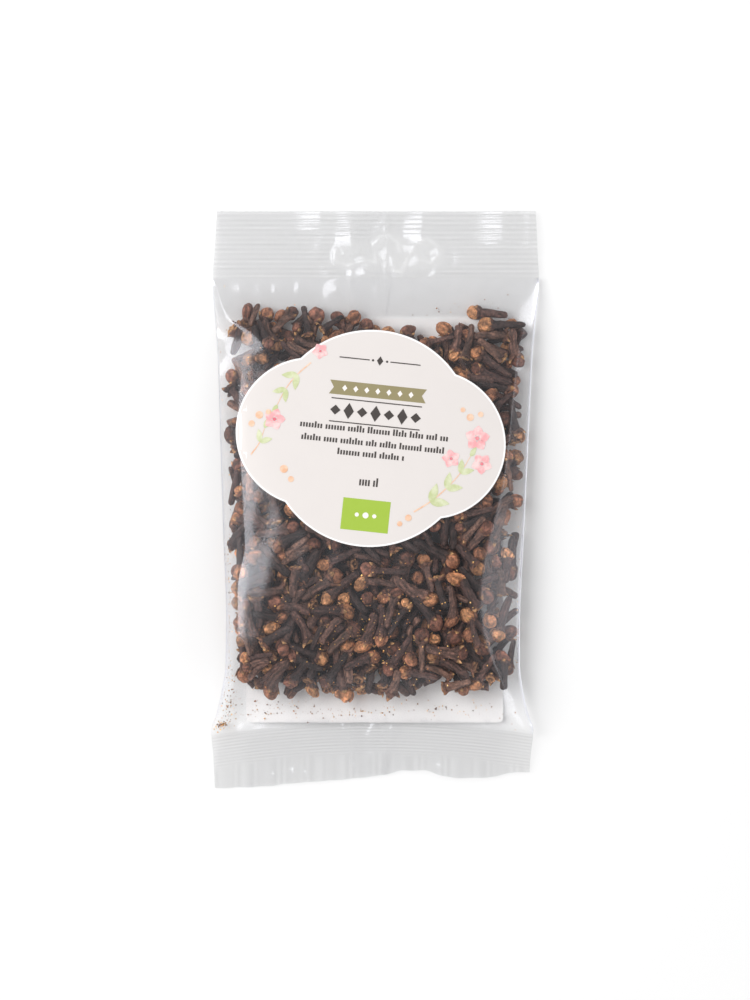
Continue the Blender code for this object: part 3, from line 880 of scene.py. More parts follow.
def label_height(places):
    """Height of the front label's face: the film's, without its crimps and lumps."""
    return film_heights(places[:, 0], places[:, 1])[1] + LABEL_LIFT + LABEL_THICKNESS


def make_front_label(stock, rim_stock):
    """The cloud-shaped label, with a narrow unprinted white rim."""
    outline = on_label(cloud_outline())
    net, faces = sheet_net(outline, LABEL_NET_STEP)
    face_height = label_height(net)
    solid = sheet_solid(net, faces, len(outline), face_height - LABEL_THICKNESS, face_height)
    add_piece("front_label_rim", solid, rim_stock, replaces="front_label")
    inner = on_label(cloud_outline(inset=LABEL_RIM))
    net, faces = sheet_net(inner, LABEL_NET_STEP)
    face_height = label_height(net) + 0.02
    solid = sheet_solid(net, faces, len(inner), face_height - 0.03, face_height)
    add_piece("front_label_face", solid, stock)


def make_back_label(stock):
    """The plain label under the bag, which shows pale between the cloves."""
    width, length = BACK_LABEL_SIZE
    angles = np.radians(np.arange(0, 91, 11.25))
    outline = []
    for quarter, (sx, sy) in enumerate(((1, 1), (-1, 1), (-1, -1), (1, -1))):
        turned = angles + quarter * math.pi / 2
        cx = sx * (width / 2 - BACK_LABEL_CORNER) + BACK_LABEL_CENTRE[0]
        cy = sy * (length / 2 - BACK_LABEL_CORNER) + BACK_LABEL_CENTRE[1]
        outline += [
            (cx + BACK_LABEL_CORNER * math.cos(a), cy + BACK_LABEL_CORNER * math.sin(a)) for a in turned
        ]
    outline = with_steps(np.array(outline), BACK_LABEL_NET_STEP)
    net, faces = sheet_net(outline, BACK_LABEL_NET_STEP)
    upper = visible_heights(net[:, 0], net[:, 1])[0] - 0.03
    solid = sheet_solid(net, faces, len(outline), upper - BACK_LABEL_THICKNESS, upper)
    add_piece("back_label_sheet", solid, stock, replaces="back_label")


# Print on the front label: middles and sizes along and across the label. Each layer of ink lies a little
# above the one before, so that no two faces meet.
PRINT_LIFT = 0.05
INK_THICKNESS = 0.02
LAYER_STEP = 0.004
PRINT_NET_STEP = 1.6
RIBBON_MIDDLE = (0.7, 14.0)
RIBBON_SIZE = (28.9, 4.15)
RIBBON_NOTCH = 1.3
MARK_MIDDLE = (0.9, -23.0)
MARK_SIZE = (14.1, 9.4)
ORNAMENT_MIDDLE = (0.4, 23.1)
TITLE_MIDDLE = (0.7, 7.3)
TITLE_SIZE = (24.0, 4.8)
TEXT_LINES = ((2.3, 44.7), (-1.45, 43.2), (-4.8, 21.0))
TEXT_HEIGHT = 1.9
TEXT_PITCH = 0.86
TEXT_STROKE = 0.52
TALL_TICKS = 0.22
QUANTITY_MIDDLE = (0.9, -13.0)
QUANTITY_SIZE = (6.6, 2.6)
RULE_WIDTH = 0.32
PRINT_SEED = 7


def with_steps(outline, step):
    """An outline with extra points along its long sides, so that it follows the label."""
    points = []
    for a, b in zip(outline, np.roll(outline, -1, axis=0)):
        pieces = max(1, math.ceil(math.dist(a, b) / step))
        points += [a + (b - a) * i / pieces for i in range(pieces)]
    return np.array(points)


def print_patch(outline, layer):
    """A patch of print: a thin closed sheet on the label, from an outline in the label's places."""
    placed = on_label(with_steps(outline, PRINT_NET_STEP))
    net, faces = sheet_net(placed, PRINT_NET_STEP)
    height = label_height(net) + PRINT_LIFT + layer * LAYER_STEP
    return sheet_solid(net, faces, len(placed), height - INK_THICKNESS, height)


def join(parts):
    """Joins (vertices, faces) pairs into one."""
    vertices, faces, offset = [], [], 0
    for part_vertices, part_faces in parts:
        vertices.append(part_vertices)
        faces.append(part_faces + offset)
        offset += len(part_vertices)
    return np.concatenate(vertices), np.concatenate(faces)


def box_outline(middle, width, height):
    """A rectangle, with its corners in turn."""
    (cx, cy), w, h = middle, width / 2, height / 2
    return np.array(((cx - w, cy - h), (cx + w, cy - h), (cx + w, cy + h), (cx - w, cy + h)))


def lozenge(middle, width, height):
    """A rhombus that stands on its tip."""
    (cx, cy), w, h = middle, width / 2, height / 2
    return np.array(((cx - w, cy), (cx, cy - h), (cx + w, cy), (cx, cy + h)))


def disc(middle, radius, points=14):
    """A small disc."""
    turn = np.arange(points) / points * 2 * math.pi
    return np.stack((middle[0] + radius * np.cos(turn), middle[1] + radius * np.sin(turn)), axis=-1)


def leaf(base, length, width, angle, bend=0.0, points=12):
    """A pointed leaf from its base, with a bend along its middle line."""
    s = np.linspace(0.0, 1.0, points)
    half = width / 2 * np.sin(math.pi * s**0.8) ** 0.9
    along, aside = s * length, bend * np.sin(math.pi * s / 2)
    right = np.stack((along, aside - half), axis=-1)
    left = np.stack((along, aside + half), axis=-1)[-2:0:-1]
    outline = np.concatenate((right, left))
    turn = np.array(((math.cos(angle), math.sin(angle)), (-math.sin(angle), math.cos(angle))))
    return outline @ turn + np.array(base)


def twig(points, width):
    """A thin stalk along a smooth line, tapering to its end."""
    line = np.array(points, float)
    s = np.linspace(0, len(line) - 1, 6 * len(line))
    index = np.arange(len(line))
    x = through(tuple(zip(index, line[:, 0])), s)
    y = through(tuple(zip(index, line[:, 1])), s)
    way = np.stack((np.gradient(x), np.gradient(y)), axis=-1)
    way /= np.linalg.norm(way, axis=1)[:, None]
    half = (width / 2 * (1 - 0.6 * s / s[-1]))[:, None]
    side = np.stack((-way[:, 1], way[:, 0]), axis=-1) * half
    middle = np.stack((x, y), axis=-1)
    return np.concatenate((middle - side, (middle + side)[::-1]))


def word_ticks(middle, width, height, rng):
    """A line of print too small to read: short upright ticks in words, with a few that stand taller."""
    ticks, at, word = [], -width / 2, 0
    low = middle[1] - height / 2
    while at < width / 2 - 0.4:
        if word == 0:
            word = int(rng.integers(4, 9))
            at += 0.8 * TEXT_PITCH
        tall = height * (1.0 if rng.random() < TALL_TICKS else 0.7)
        ticks.append(box_outline((middle[0] + at, low + tall / 2), TEXT_STROKE, tall))
        at += TEXT_PITCH
        word -= 1
    return ticks


def blossom(middle, radius, petals, start):
    """Round petals, set apart from each other as with a loaded brush."""
    turns = start + np.arange(petals) / petals * 2 * math.pi
    width = 2.0 * radius * math.sin(math.pi / petals) * 0.82
    inner = 0.22 * radius
    return [
        leaf((middle[0] + inner * math.cos(t), middle[1] + inner * math.sin(t)), radius, width, t, points=9)
        for t in turns
    ]


def leafy_sprig(path, length, width, side_angle):
    """A stalk's leaves, in pairs along a path and one at its end."""
    leaves = []
    line = np.array(path, float)
    for i in range(1, len(line)):
        way = line[i] - line[i - 1]
        angle = math.atan2(way[1], way[0])
        size = 1.0 - 0.12 * i
        if i < len(line) - 1:
            for side in (-1, 1):
                turn = angle + side * side_angle
                leaves.append(leaf(line[i], length * size, width * size, turn, bend=-side * 0.5))
        else:
            leaves.append(leaf(line[i], length * size, width * size, angle))
    return leaves


# The painted sprigs: places along and across the label.
LOW_SPRIG = ((15.0, -20.5), (19.5, -17.0), (23.8, -12.6), (27.5, -7.6), (30.0, -2.4))
HIGH_SPRIG = ((-20.0, 20.5), (-23.6, 16.6), (-26.6, 12.0), (-28.6, 7.0))
SIDE_SPRIG = ((-34.8, -8.6), (-32.6, -4.6), (-31.6, -0.4))
LOW_BLOSSOMS = (((31.5, 3.2), 3.1, 0.3), ((33.6, -4.2), 2.6, 1.0), ((24.4, -3.6), 2.3, 0.6))
HIGH_BLOSSOMS = (((-29.0, 2.6), 2.7, 0.1), ((-17.6, 24.2), 2.0, 0.9))
BERRIES = (
    ((-33.6, 3.4), 1.15), ((-35.6, 0.6), 0.95), ((-31.0, 4.6), 0.8), ((28.8, 9.2), 1.1), ((31.8, 10.4), 0.85),
    ((26.4, 11.2), 0.75), ((11.2, -24.4), 0.8), ((13.6, -22.4), 1.0), ((-22.2, -14.6), 0.9),
    ((-24.6, -11.8), 1.2),
)
PETALS = 5


def make_print(inks):
    """Ribbon, band of lozenges, lines of ticks, green mark and painted sprigs, all plain shapes in ink."""
    rng = np.random.default_rng(PRINT_SEED)
    (rx, ry), (rw, rh) = RIBBON_MIDDLE, RIBBON_SIZE
    ribbon = np.array((
        (rx - rw / 2, ry - rh / 2), (rx + rw / 2, ry - rh / 2), (rx + rw / 2 - RIBBON_NOTCH, ry),
        (rx + rw / 2, ry + rh / 2), (rx - rw / 2, ry + rh / 2), (rx - rw / 2 + RIBBON_NOTCH, ry),
    ))
    beads = [lozenge((rx + 3.3 * i, ry), 1.5, 1.9) for i in range(-3, 4)]
    seeds = [disc((MARK_MIDDLE[0] + 2.6 * i, MARK_MIDDLE[1]), 0.62 + 0.28 * (i == 0)) for i in (-1, 0, 1)]

    (tx, ty), (tw, th) = TITLE_MIDDLE, TITLE_SIZE
    dark = [lozenge((tx + tw * (i / 6.0), ty), 3.1, th if i % 2 == 0 else 0.62 * th) for i in range(-3, 4)]
    dark += [box_outline((tx, ty + side * 0.72 * th), tw + 3.0, RULE_WIDTH) for side in (-1, 1)]
    ox, oy = ORNAMENT_MIDDLE
    dark += [box_outline((ox + side * 7.6, oy), 9.0, RULE_WIDTH) for side in (-1, 1)]
    dark += [lozenge((ox, oy), 1.9, 2.8)] + [disc((ox + side * 2.1, oy), 0.34) for side in (-1, 1)]
    for height, width in TEXT_LINES:
        dark += word_ticks((TITLE_MIDDLE[0], height), width, TEXT_HEIGHT, rng)
    dark += word_ticks(QUANTITY_MIDDLE, *QUANTITY_SIZE, rng)

    leaves = leafy_sprig(LOW_SPRIG, 6.6, 2.9, 0.75) + leafy_sprig(HIGH_SPRIG, 5.4, 2.3, 0.8)
    leaves += leafy_sprig(SIDE_SPRIG, 4.4, 2.0, 0.85)
    stalks = [twig(LOW_SPRIG, 0.5), twig(HIGH_SPRIG, 0.45), twig(SIDE_SPRIG, 0.4)]
    petals, hearts = [], []
    for middle, radius, start in LOW_BLOSSOMS + HIGH_BLOSSOMS:
        petals += blossom(middle, radius, PETALS, start)
        hearts.append(disc(middle, 0.2 * radius, 9))
    berries = [disc(middle, radius) for middle, radius in BERRIES]

    printed = (
        ("label_ribbon", [ribbon], "olive"),
        ("label_green_mark", [box_outline(MARK_MIDDLE, *MARK_SIZE)], "green"),
        ("label_ribbon_beads", beads, "white"),
        ("label_mark_seeds", seeds, "white"),
        ("label_black_print", dark, "black"),
        ("label_stalks", stalks, "peach"),
        ("label_leaves", leaves, "sage"),
        ("label_petals", petals, "pink"),
        ("label_berries", berries, "peach"),
        ("label_hearts", hearts, "coral"),
    )
    for order, (name, outlines, ink) in enumerate(printed):
        patches = [print_patch(outline, layer=2 * order + i % 2) for i, outline in enumerate(outlines)]
        add_piece(name, join(patches), inks[ink])


# The parts of a clove, which differ in colour.
STEM, HEAD, TEETH, TIPS, RING = range(5)

# A clove's stem: places of its rings, and its half width along it, both as shares of its length.
STEM_SIDES = 14
STEM_RINGS = np.concatenate(((0.0, 0.025, 0.07), np.linspace(0.15, 0.88, 9), (0.95, 1.0)))
STEM_WIDTH = ((0, 0.45), (0.03, 0.85), (0.1, 1.05), (0.4, 1.2), (0.72, 1.32), (0.9, 1.62), (1.0, 1.75))
# A tooth from its root to its tip: half widths and half thicknesses.
TOOTH_SIDES = 6
TOOTH_PLACES = np.array((0.0, 0.3, 0.6, 0.85, 1.0))
TOOTH_WIDTH = np.array((1.2, 1.12, 0.84, 0.46, 0.18))
TOOTH_DEPTH = np.array((0.62, 0.5, 0.38, 0.26, 0.13))
TOOTH_ROOT = 0.75
# How far teeth reach out and rise, with a head, without one, and when broken, and how many are broken.
TEETH_WITH_HEAD = ((2.5, 3.0), (1.1, 1.8))
TEETH_WITHOUT_HEAD = ((2.7, 3.4), (0.3, 1.3))
BROKEN_TOOTH = (1.6, 0.4)
BROKEN_TOOTH_SHARE = 0.12
# The ring that a lost head leaves: (radius, height) from its rim to the stub in its middle, and the painted
# shade at each: darker down in the cup, lighter on the rim and on the stub's top.
RING_SIDES = 16
RING_PROFILE = np.array((
    (1.7, -0.4), (1.66, 0.2), (1.45, 0.5), (1.12, 0.46), (0.95, 0.2), (0.55, 0.05), (0.34, 0.15),
    (0.24, 0.95),
))
RING_PAINTED_SHADE = np.array((0.8, 1.0, 1.35, 1.3, 0.55, 0.35, 0.5, 1.1))
# A head: its rings' angles from its top, and its radius on a stem and when it came off.
HEAD_SIDES = 16
HEAD_RINGS = np.radians((160, 138, 116, 95, 75, 56, 38, 21, 8))
HEAD_RADIUS = (2.0, 2.4)
LOOSE_HEAD_RADIUS = (1.6, 2.0)
BROKEN_STEM_LENGTH = (4.2, 6.0)
BEND_SPREAD = 1.3
BEND_GAIN = 1.6


def clove_noise(rng, around, along, terms=9):
    """A smooth random relief over (turn around the stem, place along it)."""
    total = np.zeros(np.broadcast(around, along).shape)
    for _ in range(terms):
        turns = rng.integers(1, 9)
        height = rng.normal()
        total = total + height * np.sin(turns * around + rng.uniform(-1.3, 1.3) * along + rng.uniform(0, 6.3))
    return total / math.sqrt(terms)


def ring_solid(rings, pole_start, pole_end):
    """Vertices and triangles of a closed body through rings of points, with a pole at each end."""
    count, sides = rings.shape[:2]
    vertices = np.concatenate((rings.reshape(-1, 3), [pole_start, pole_end]))
    index = np.arange(count * sides).reshape(count, sides)
    following = np.roll(index, -1, axis=1)
    a = np.stack((index[:-1], following[:-1], following[1:]), axis=-1).reshape(-1, 3)
    b = np.stack((index[:-1], following[1:], index[1:]), axis=-1).reshape(-1, 3)
    start = np.stack((following[0], index[0], np.full(sides, count * sides)), axis=-1)
    end = np.stack((index[-1], following[-1], np.full(sides, count * sides + 1)), axis=-1)
    return vertices, np.concatenate((a, b, start, end))


def clove_stem(rng, length, girth=1.0):
    """The stem: four-sided with round corners, flared under the teeth, and wrinkled lengthways."""
    turn = np.arange(STEM_SIDES) / STEM_SIDES * 2 * math.pi
    around, along = np.meshgrid(turn, STEM_RINGS * length)
    folds = 0.095 * clove_noise(rng, around, along) + 0.065 * clove_noise(rng, 2 * around, 2.2 * along)
    knots = 0.07 * clove_noise(rng, 0 * around, 1.6 * along)
    corners = 0.08 * np.cos(4 * around)
    r = girth * through(STEM_WIDTH, STEM_RINGS)[:, None] * (1 + folds + knots + corners)
    squash = rng.uniform(0.74, 1.0)
    rings = np.stack((r * np.cos(around), r * np.sin(around) * squash, along), axis=-1)
    vertices, faces = ring_solid(rings, (0, 0, -0.15), (0, 0, length + 0.1))
    # Painted shade: darker in the wrinkles' hollows and lighter on their ridges.
    shade = np.append(np.clip(1 + 5.0 * folds, 0.45, 2.0).ravel(), (0.8, 1.0))
    return vertices, faces, np.full(len(vertices), STEM), shade


def clove_tooth(rng, stem_length, angle, reach, rise):
    """One of the four thick, pointed teeth that hold the head, spread like a star."""
    count = len(TOOTH_PLACES)
    out = 1.0 + (reach - 1.0) * TOOTH_PLACES
    up = stem_length - TOOTH_ROOT + rise * TOOTH_PLACES**1.5
    width = TOOTH_WIDTH * rng.uniform(0.85, 1.1)
    thick = TOOTH_DEPTH * rng.uniform(0.8, 1.2)
    loop = np.arange(TOOTH_SIDES) / TOOTH_SIDES * 2 * math.pi
    side = width[:, None] * np.cos(loop) * (1 + 0.12 * rng.normal(size=(count, TOOTH_SIDES)))
    lift = thick[:, None] * np.sin(loop)
    px = out[:, None] - lift * 0.5
    rings = np.stack((
        px * math.cos(angle) - side * math.sin(angle),
        px * math.sin(angle) + side * math.cos(angle),
        up[:, None] + lift * 0.85,
    ), axis=-1)
    tip = ((reach + 0.1) * math.cos(angle), (reach + 0.1) * math.sin(angle), up[-1] + 0.15)
    vertices, faces = ring_solid(rings, (0.5 * math.cos(angle), 0.5 * math.sin(angle), up[0]), tip)
    labels = np.full(len(vertices), TEETH)
    labels[(count - 2) * TOOTH_SIDES : count * TOOTH_SIDES] = TIPS
    labels[-1] = TIPS
    return vertices, faces, labels, rng.uniform(0.6, 1.4, len(vertices))


def clove_ring(rng, stem_length):
    """The squarish ring that is left where a head broke off, with a stub of style in its middle."""
    radius, height = RING_PROFILE[:, :1], RING_PROFILE[:, 1]
    around, level = np.meshgrid(np.arange(RING_SIDES) / RING_SIDES * 2 * math.pi, height)
    r = radius * (1 + 0.09 * clove_noise(rng, around, level) + 0.09 * np.cos(4 * around))
    level = level + 0.12 * clove_noise(rng, around, 0 * level) * (radius > 0.9)
    rings = np.stack((r * np.cos(around), r * np.sin(around), level + stem_length), axis=-1)
    vertices, faces = ring_solid(rings, (0, 0, stem_length - 0.45), (0, 0, stem_length + 1.0))
    # Painted shade from the ring's profile, with random tone.
    shade = RING_PAINTED_SHADE[:, None] * rng.uniform(0.8, 1.2, (len(RING_PROFILE), RING_SIDES))
    return vertices, faces, np.full(len(vertices), RING), np.append(shade.ravel(), (1.0, 1.2))


def clove_head(rng, middle, radius):
    """The head: four petals folded over each other into a ball, with a seam where each one ends."""
    turn = np.arange(HEAD_SIDES) / HEAD_SIDES * 2 * math.pi
    tall = rng.uniform(0.84, 1.05)
    around, dip = np.meshgrid(turn + rng.uniform(0, 6), HEAD_RINGS)
    seam = np.abs(np.cos(2 * around + 0.9 * dip)) ** 6
    step = ((2 * around + 0.9 * dip) / math.pi) % 1.0
    dents = clove_noise(rng, around, 3 * dip)
    r = radius * (1 - 0.08 * seam * np.sin(dip) + 0.08 * (step - 0.5) * np.sin(dip) + 0.06 * dents)
    lean = rng.normal(0, 0.14, 2)
    high = tall * r * np.cos(dip)
    rings = np.stack((
        r * np.sin(dip) * np.cos(around) + lean[0] * high,
        r * np.sin(dip) * np.sin(around) + lean[1] * high,
        middle + high,
    ), axis=-1)
    top = radius * tall
    low_pole = (-lean[0] * top, -lean[1] * top, middle - top)
    high_pole = (lean[0] * top, lean[1] * top, middle + 0.96 * top)
    vertices, faces = ring_solid(rings, low_pole, high_pole)
    # Painted shade: darker along the seams and in the dents, lighter where the petals and bumps stand out.
    shade = 1.05 - 0.4 * seam + 0.3 * (step - 0.5) + 0.45 * dents
    shade = np.clip(shade, 0.3, 2.0) * rng.uniform(0.8, 1.2, r.shape)
    return vertices, faces, np.full(len(vertices), HEAD), np.append(shade.ravel(), (0.8, 0.8))


def clove_shape(rng, stem_length, whole, girth=1.0):
    """One clove on its stem's tip: vertices, triangles, and each vertex's part and shade: painted shade in
    hollows and seams, with random tone.
    """
    reach, rise = (rng.uniform(*span) for span in (TEETH_WITH_HEAD if whole else TEETH_WITHOUT_HEAD))
    parts = [clove_stem(rng, stem_length, girth)]
    for tooth in range(4):
        turn = tooth * math.pi / 2 + rng.normal(0, 0.1)
        if rng.random() < BROKEN_TOOTH_SHARE:
            own_reach, own_rise = BROKEN_TOOTH
        else:
            own_reach, own_rise = reach * rng.uniform(0.88, 1.1), rise * rng.uniform(0.7, 1.3)
        parts.append(clove_tooth(rng, stem_length, turn, own_reach, own_rise))
    if whole:
        radius = rng.uniform(*HEAD_RADIUS)
        parts.append(clove_head(rng, stem_length + 0.55 * radius, radius))
    else:
        parts.append(clove_ring(rng, stem_length))
    return bent(rng, parts, stem_length)


def stem_piece(rng):
    """A broken length of stem."""
    return bent(rng, [clove_stem(rng, rng.uniform(*BROKEN_STEM_LENGTH))], 5.0)


def loose_head(rng):
    """A head that came off its stem."""
    return bent(rng, [clove_head(rng, 0.0, rng.uniform(*LOOSE_HEAD_RADIUS))], 4.0)


def bent(rng, parts, length):
    """Joins the parts of a clove and bends it a little, as it dried."""
    vertices, faces = join([part[:2] for part in parts])
    bend = rng.normal(0, BEND_SPREAD, 2)
    s = vertices[:, 2] / (length + 3)
    vertices[:, :2] += bend * (s * s - s)[:, None] * BEND_GAIN
    labels, shades = (np.concatenate([part[k] for part in parts]) for k in (2, 3))
    return vertices, faces, labels, shades


class Heap:
    """Cloves as rows of balls, settled between the two films."""

    # Places along a clove of unit scale, and radii, of the balls that stand for it.
    BALLS = np.array((
        (0.9, 1.0), (3.1, 1.2), (5.3, 1.3), (7.5, 1.42), (9.7, 2.1), (11.6, 2.2),
    ))
    SCALES = (0.78, 1.25)
    SCALE_SPREAD = 0.1
    HEADLESS_TIP = 0.35
    BROKEN_STEM_REACH = (0.6, 4.4)
    BROKEN_STEM_RADIUS = 1.15
    LOOSE_HEAD_REACH = (-0.3, 0.3)
    LOOSE_HEAD_RADIUS = 1.8

    # Where a clove may start: over how much room, and how much likelier it is where there is more.
    LEAST_ROOM = 2.6
    MOST_ROOM = 17
    CROWDING = 0.58

    # Settling: how small the balls start, how far apart they are looked at and how often, how strongly they
    # part, how strongly the heap's outline pushes, and the drift of whole cloves and of pieces.
    START_SIZE = 0.55
    PAIR_MARGIN = 1.4
    PAIR_STEPS = 8
    PARTING = 1.2
    NUDGE = 0.3
    RISE = 0.02
    SINK = -0.03

    def __init__(self, rng, count, pieces):
        self.rng = rng
        total = count + pieces
        self.whole = np.arange(total) < count
        self.scale = np.clip(rng.normal(1.0, self.SCALE_SPREAD, total), *self.SCALES)
        self.headless = self.whole & (rng.random(total) < HEADLESS_SHARE)
        self.loose_head = ~self.whole & (rng.random(total) < LOOSE_HEAD_SHARE)
        along = self.BALLS[:, 0][None, :] * self.scale[:, None]
        self.radius = self.BALLS[:, 1][None, :] * self.scale[:, None]
        self.radius[self.headless, -1] *= self.HEADLESS_TIP
        broken = ~self.whole & ~self.loose_head
        along[broken] = np.linspace(*self.BROKEN_STEM_REACH, len(self.BALLS))
        self.radius[broken] = self.BROKEN_STEM_RADIUS
        along[self.loose_head] = np.linspace(*self.LOOSE_HEAD_REACH, len(self.BALLS))
        self.radius[self.loose_head] = self.LOOSE_HEAD_RADIUS
        self.centre_along = along.mean(axis=1)
        self.along = along - self.centre_along[:, None]
        self.middle, self.axis = self.scatter(total)
        self.roll = rng.uniform(0, 2 * math.pi, total)
        self.make_walls()

    def scatter(self, count):
        """Starting places: close to even over the bag, and broken pieces near its back."""
        rng = self.rng
        places = []
        while len(places) < count:
            x, y = rng.uniform(-47, 47), rng.uniform(-66, 60)
            lower, upper = film_heights(x, y)
            room = float(upper - lower)
            if room <= self.LEAST_ROOM or not heap_foot(x) < y < heap_top(x):
                continue
            if rng.uniform(0, 1) < (room / self.MOST_ROOM) ** self.CROWDING:
                low, high = (0.15, 0.85) if self.whole[len(places)] else (0.05, 0.4)
                places.append((x, y, float(lower) + rng.uniform(low, high) * room))
        yaw = rng.uniform(0, 2 * math.pi, count)
        rise = rng.normal(0, 0.16, count)
        axis = np.stack((np.cos(yaw) * np.cos(rise), np.sin(yaw) * np.cos(rise), np.sin(rise)), axis=-1)
        return np.array(places), axis

    def make_walls(self):
        """Heights of both films and their slopes on a one-millimetre grid."""
        self.grid_x = np.arange(-52, 53, 1.0)
        self.grid_y = np.arange(-72, 73, 1.0)
        gx, gy = np.meshgrid(self.grid_x, self.grid_y)
        lower, upper = film_heights(gx, gy)
        u = np.abs(gx - middle_x(gy)) / through(HALF_WIDTH, gy)
        # Past the bag's edges the films close like a funnel, which sends a clove back in.
        beyond = np.clip(u - 1, 0, None) * 45
        upper = upper - 2.0 * beyond
        lower = lower + 2.0 * beyond
        self.walls = []
        for height, sign in ((upper, -1.0), (lower, 1.0)):
            slope_y, slope_x = np.gradient(height)
            self.walls.append((height, slope_x, slope_y, sign))

    def look_up(self, table, x, y):
        """A wall's value between its grid's places."""
        fx = np.clip(x - self.grid_x[0], 0, len(self.grid_x) - 1.001)
        fy = np.clip(y - self.grid_y[0], 0, len(self.grid_y) - 1.001)
        ix, iy = fx.astype(int), fy.astype(int)
        sx, sy = fx - ix, fy - iy
        return (
            table[iy, ix] * (1 - sx) * (1 - sy) + table[iy, ix + 1] * sx * (1 - sy)
            + table[iy + 1, ix] * (1 - sx) * sy + table[iy + 1, ix + 1] * sx * sy
        )

    def near_pairs(self, balls, radius):
        """Pairs of balls on different cloves that may touch soon."""
        each = radius.shape[1]
        gap = self.middle[:, None, :] - self.middle[None, :, :]
        reach = (self.along[:, -1] - self.along[:, 0]) / 2 + 2.6
        close = (gap**2).sum(axis=2) < (reach[:, None] + reach[None, :] + self.PAIR_MARGIN) ** 2
        first, second = np.nonzero(np.triu(close, 1))
        a = (first[:, None] * each + np.repeat(np.arange(each), each)[None, :]).ravel()
        b = (second[:, None] * each + np.tile(np.arange(each), each)[None, :]).ravel()
        flat, sizes = balls.reshape(-1, 3), radius.ravel()
        distance = np.sqrt(((flat[a] - flat[b]) ** 2).sum(axis=1))
        keep = distance < sizes[a] + sizes[b] + self.PAIR_MARGIN
        return a[keep], b[keep]

    def part_balls(self, flat, sizes, pairs):
        """Each ball's mean move away from the balls that it overlaps."""
        a, b = pairs
        total = len(flat)
        gap = flat[a] - flat[b]
        distance = np.sqrt((gap**2).sum(axis=1)) + 1e-9
        overlap = np.clip(sizes[a] + sizes[b] - distance, 0, None)
        push = gap * (0.5 * overlap / distance)[:, None]
        touching = (overlap > 0).astype(float)
        touches = np.bincount(a, touching, total) + np.bincount(b, touching, total)
        moved = np.zeros((total, 3))
        for k in range(3):
            moved[:, k] = np.bincount(a, push[:, k], total) - np.bincount(b, push[:, k], total)
        return moved / np.maximum(touches, 1)[:, None] * self.PARTING

    def press_balls(self, flat, margin, moved):
        """Adds to each ball's move what the films press it by."""
        for height, slope_x, slope_y, sign in self.walls:
            sx = self.look_up(slope_x, flat[:, 0], flat[:, 1])
            sy = self.look_up(slope_y, flat[:, 0], flat[:, 1])
            steep = np.sqrt(1 + sx * sx + sy * sy)
            room = sign * (flat[:, 2] - self.look_up(height, flat[:, 0], flat[:, 1])) / steep - margin
            press = np.clip(-room, 0, None) * sign / steep
            moved[:, 0] -= press * sx
            moved[:, 1] -= press * sy
            moved[:, 2] += press

    def follow(self, balls):
        """Moves and turns each clove after its balls, and keeps it within the heap's outline."""
        x = self.middle[:, 0]
        over = np.clip(balls[:, :, 1].max(axis=1) - heap_top(x), 0, None)
        under = np.clip(heap_foot(x) - balls[:, :, 1].min(axis=1), 0, None)
        self.middle = balls.mean(axis=1)
        self.middle[:, 1] += self.NUDGE * (under - over)
        left = np.clip(through(HEAP_LEFT, self.middle[:, 1]) - balls[:, :, 0].min(axis=1), 0, None)
        right = np.clip(balls[:, :, 0].max(axis=1) - through(HEAP_RIGHT, self.middle[:, 1]), 0, None)
        self.middle[:, 0] += self.NUDGE * (left - right)
        lean = ((balls - self.middle[:, None, :]) * self.along[:, :, None]).sum(axis=1)
        self.axis = lean / np.linalg.norm(lean, axis=1)[:, None]

    def settle(self, steps):
        """Lets the balls grow to their size while they part and the films press them together."""
        count, each = self.radius.shape
        clearance = np.tile(BALL_CLEARANCE, count)
        drift = np.repeat(np.where(self.whole, self.RISE, self.SINK), each)
        for step in range(steps):
            radius = self.radius * min(1.0, self.START_SIZE + 0.6 * step / (0.45 * steps))
            balls = self.middle[:, None, :] + self.axis[:, None, :] * self.along[:, :, None]
            if step % self.PAIR_STEPS == 0:
                pairs = self.near_pairs(balls, radius)
            flat, sizes = balls.reshape(-1, 3), radius.ravel()
            moved = self.part_balls(flat, sizes, pairs)
            margin = sizes + np.where(flat[:, 1] > TOP_CLEARANCE_FROM, TOP_CLEARANCE, clearance)
            self.press_balls(flat, margin, moved)
            if step < 0.8 * steps:
                moved[:, 2] += drift
            self.follow((flat + moved).reshape(count, each, 3))


def heap_top(x):
    """How far up the bag the cloves reach: an uneven line."""
    return through(HEAP_TOP, x) + 1.0 * np.sin(0.83 * x)


def heap_foot(x):
    """How far down the bag the cloves reach."""
    return through(HEAP_FOOT, x) + 0.9 * np.sin(0.37 * x + 2.0) + 0.8 * np.sin(0.9 * x + 0.5)


# Tones of a clove's parts, and the kinds of clove: name, stem lengths and girth.
STEM_TONES = ("#45302b", "#523a33", "#342623", "#5c4239", "#684c40")
HEAD_TONES = ("#96644a", "#7b5040", "#a8724f", "#6a4335", "#b07c56")
TOOTH_TONES = ("#5e4034", "#6c493a", "#4a332b")
TIP_TONES = ("#aa7e52", "#b98c60", "#8e6646")
RING_TONES = ("#8e6648", "#78543c", "#a87e56")
CLOVE_KINDS = (
    ("cloves_long", (9.6, 10.0, 10.4, 10.7, 9.8, 10.2), 1.0),
    ("cloves_short", (8.0, 8.4, 8.8, 9.1, 8.6, 8.2), 1.05),
    ("cloves_slender", (9.4, 9.9, 9.0, 10.3, 9.6, 8.8), 0.82),
)
BARE_STEMS = (8.8, 9.5, 10.1, 10.8, 9.2, 10.4)
PIECE_SHAPES = 5


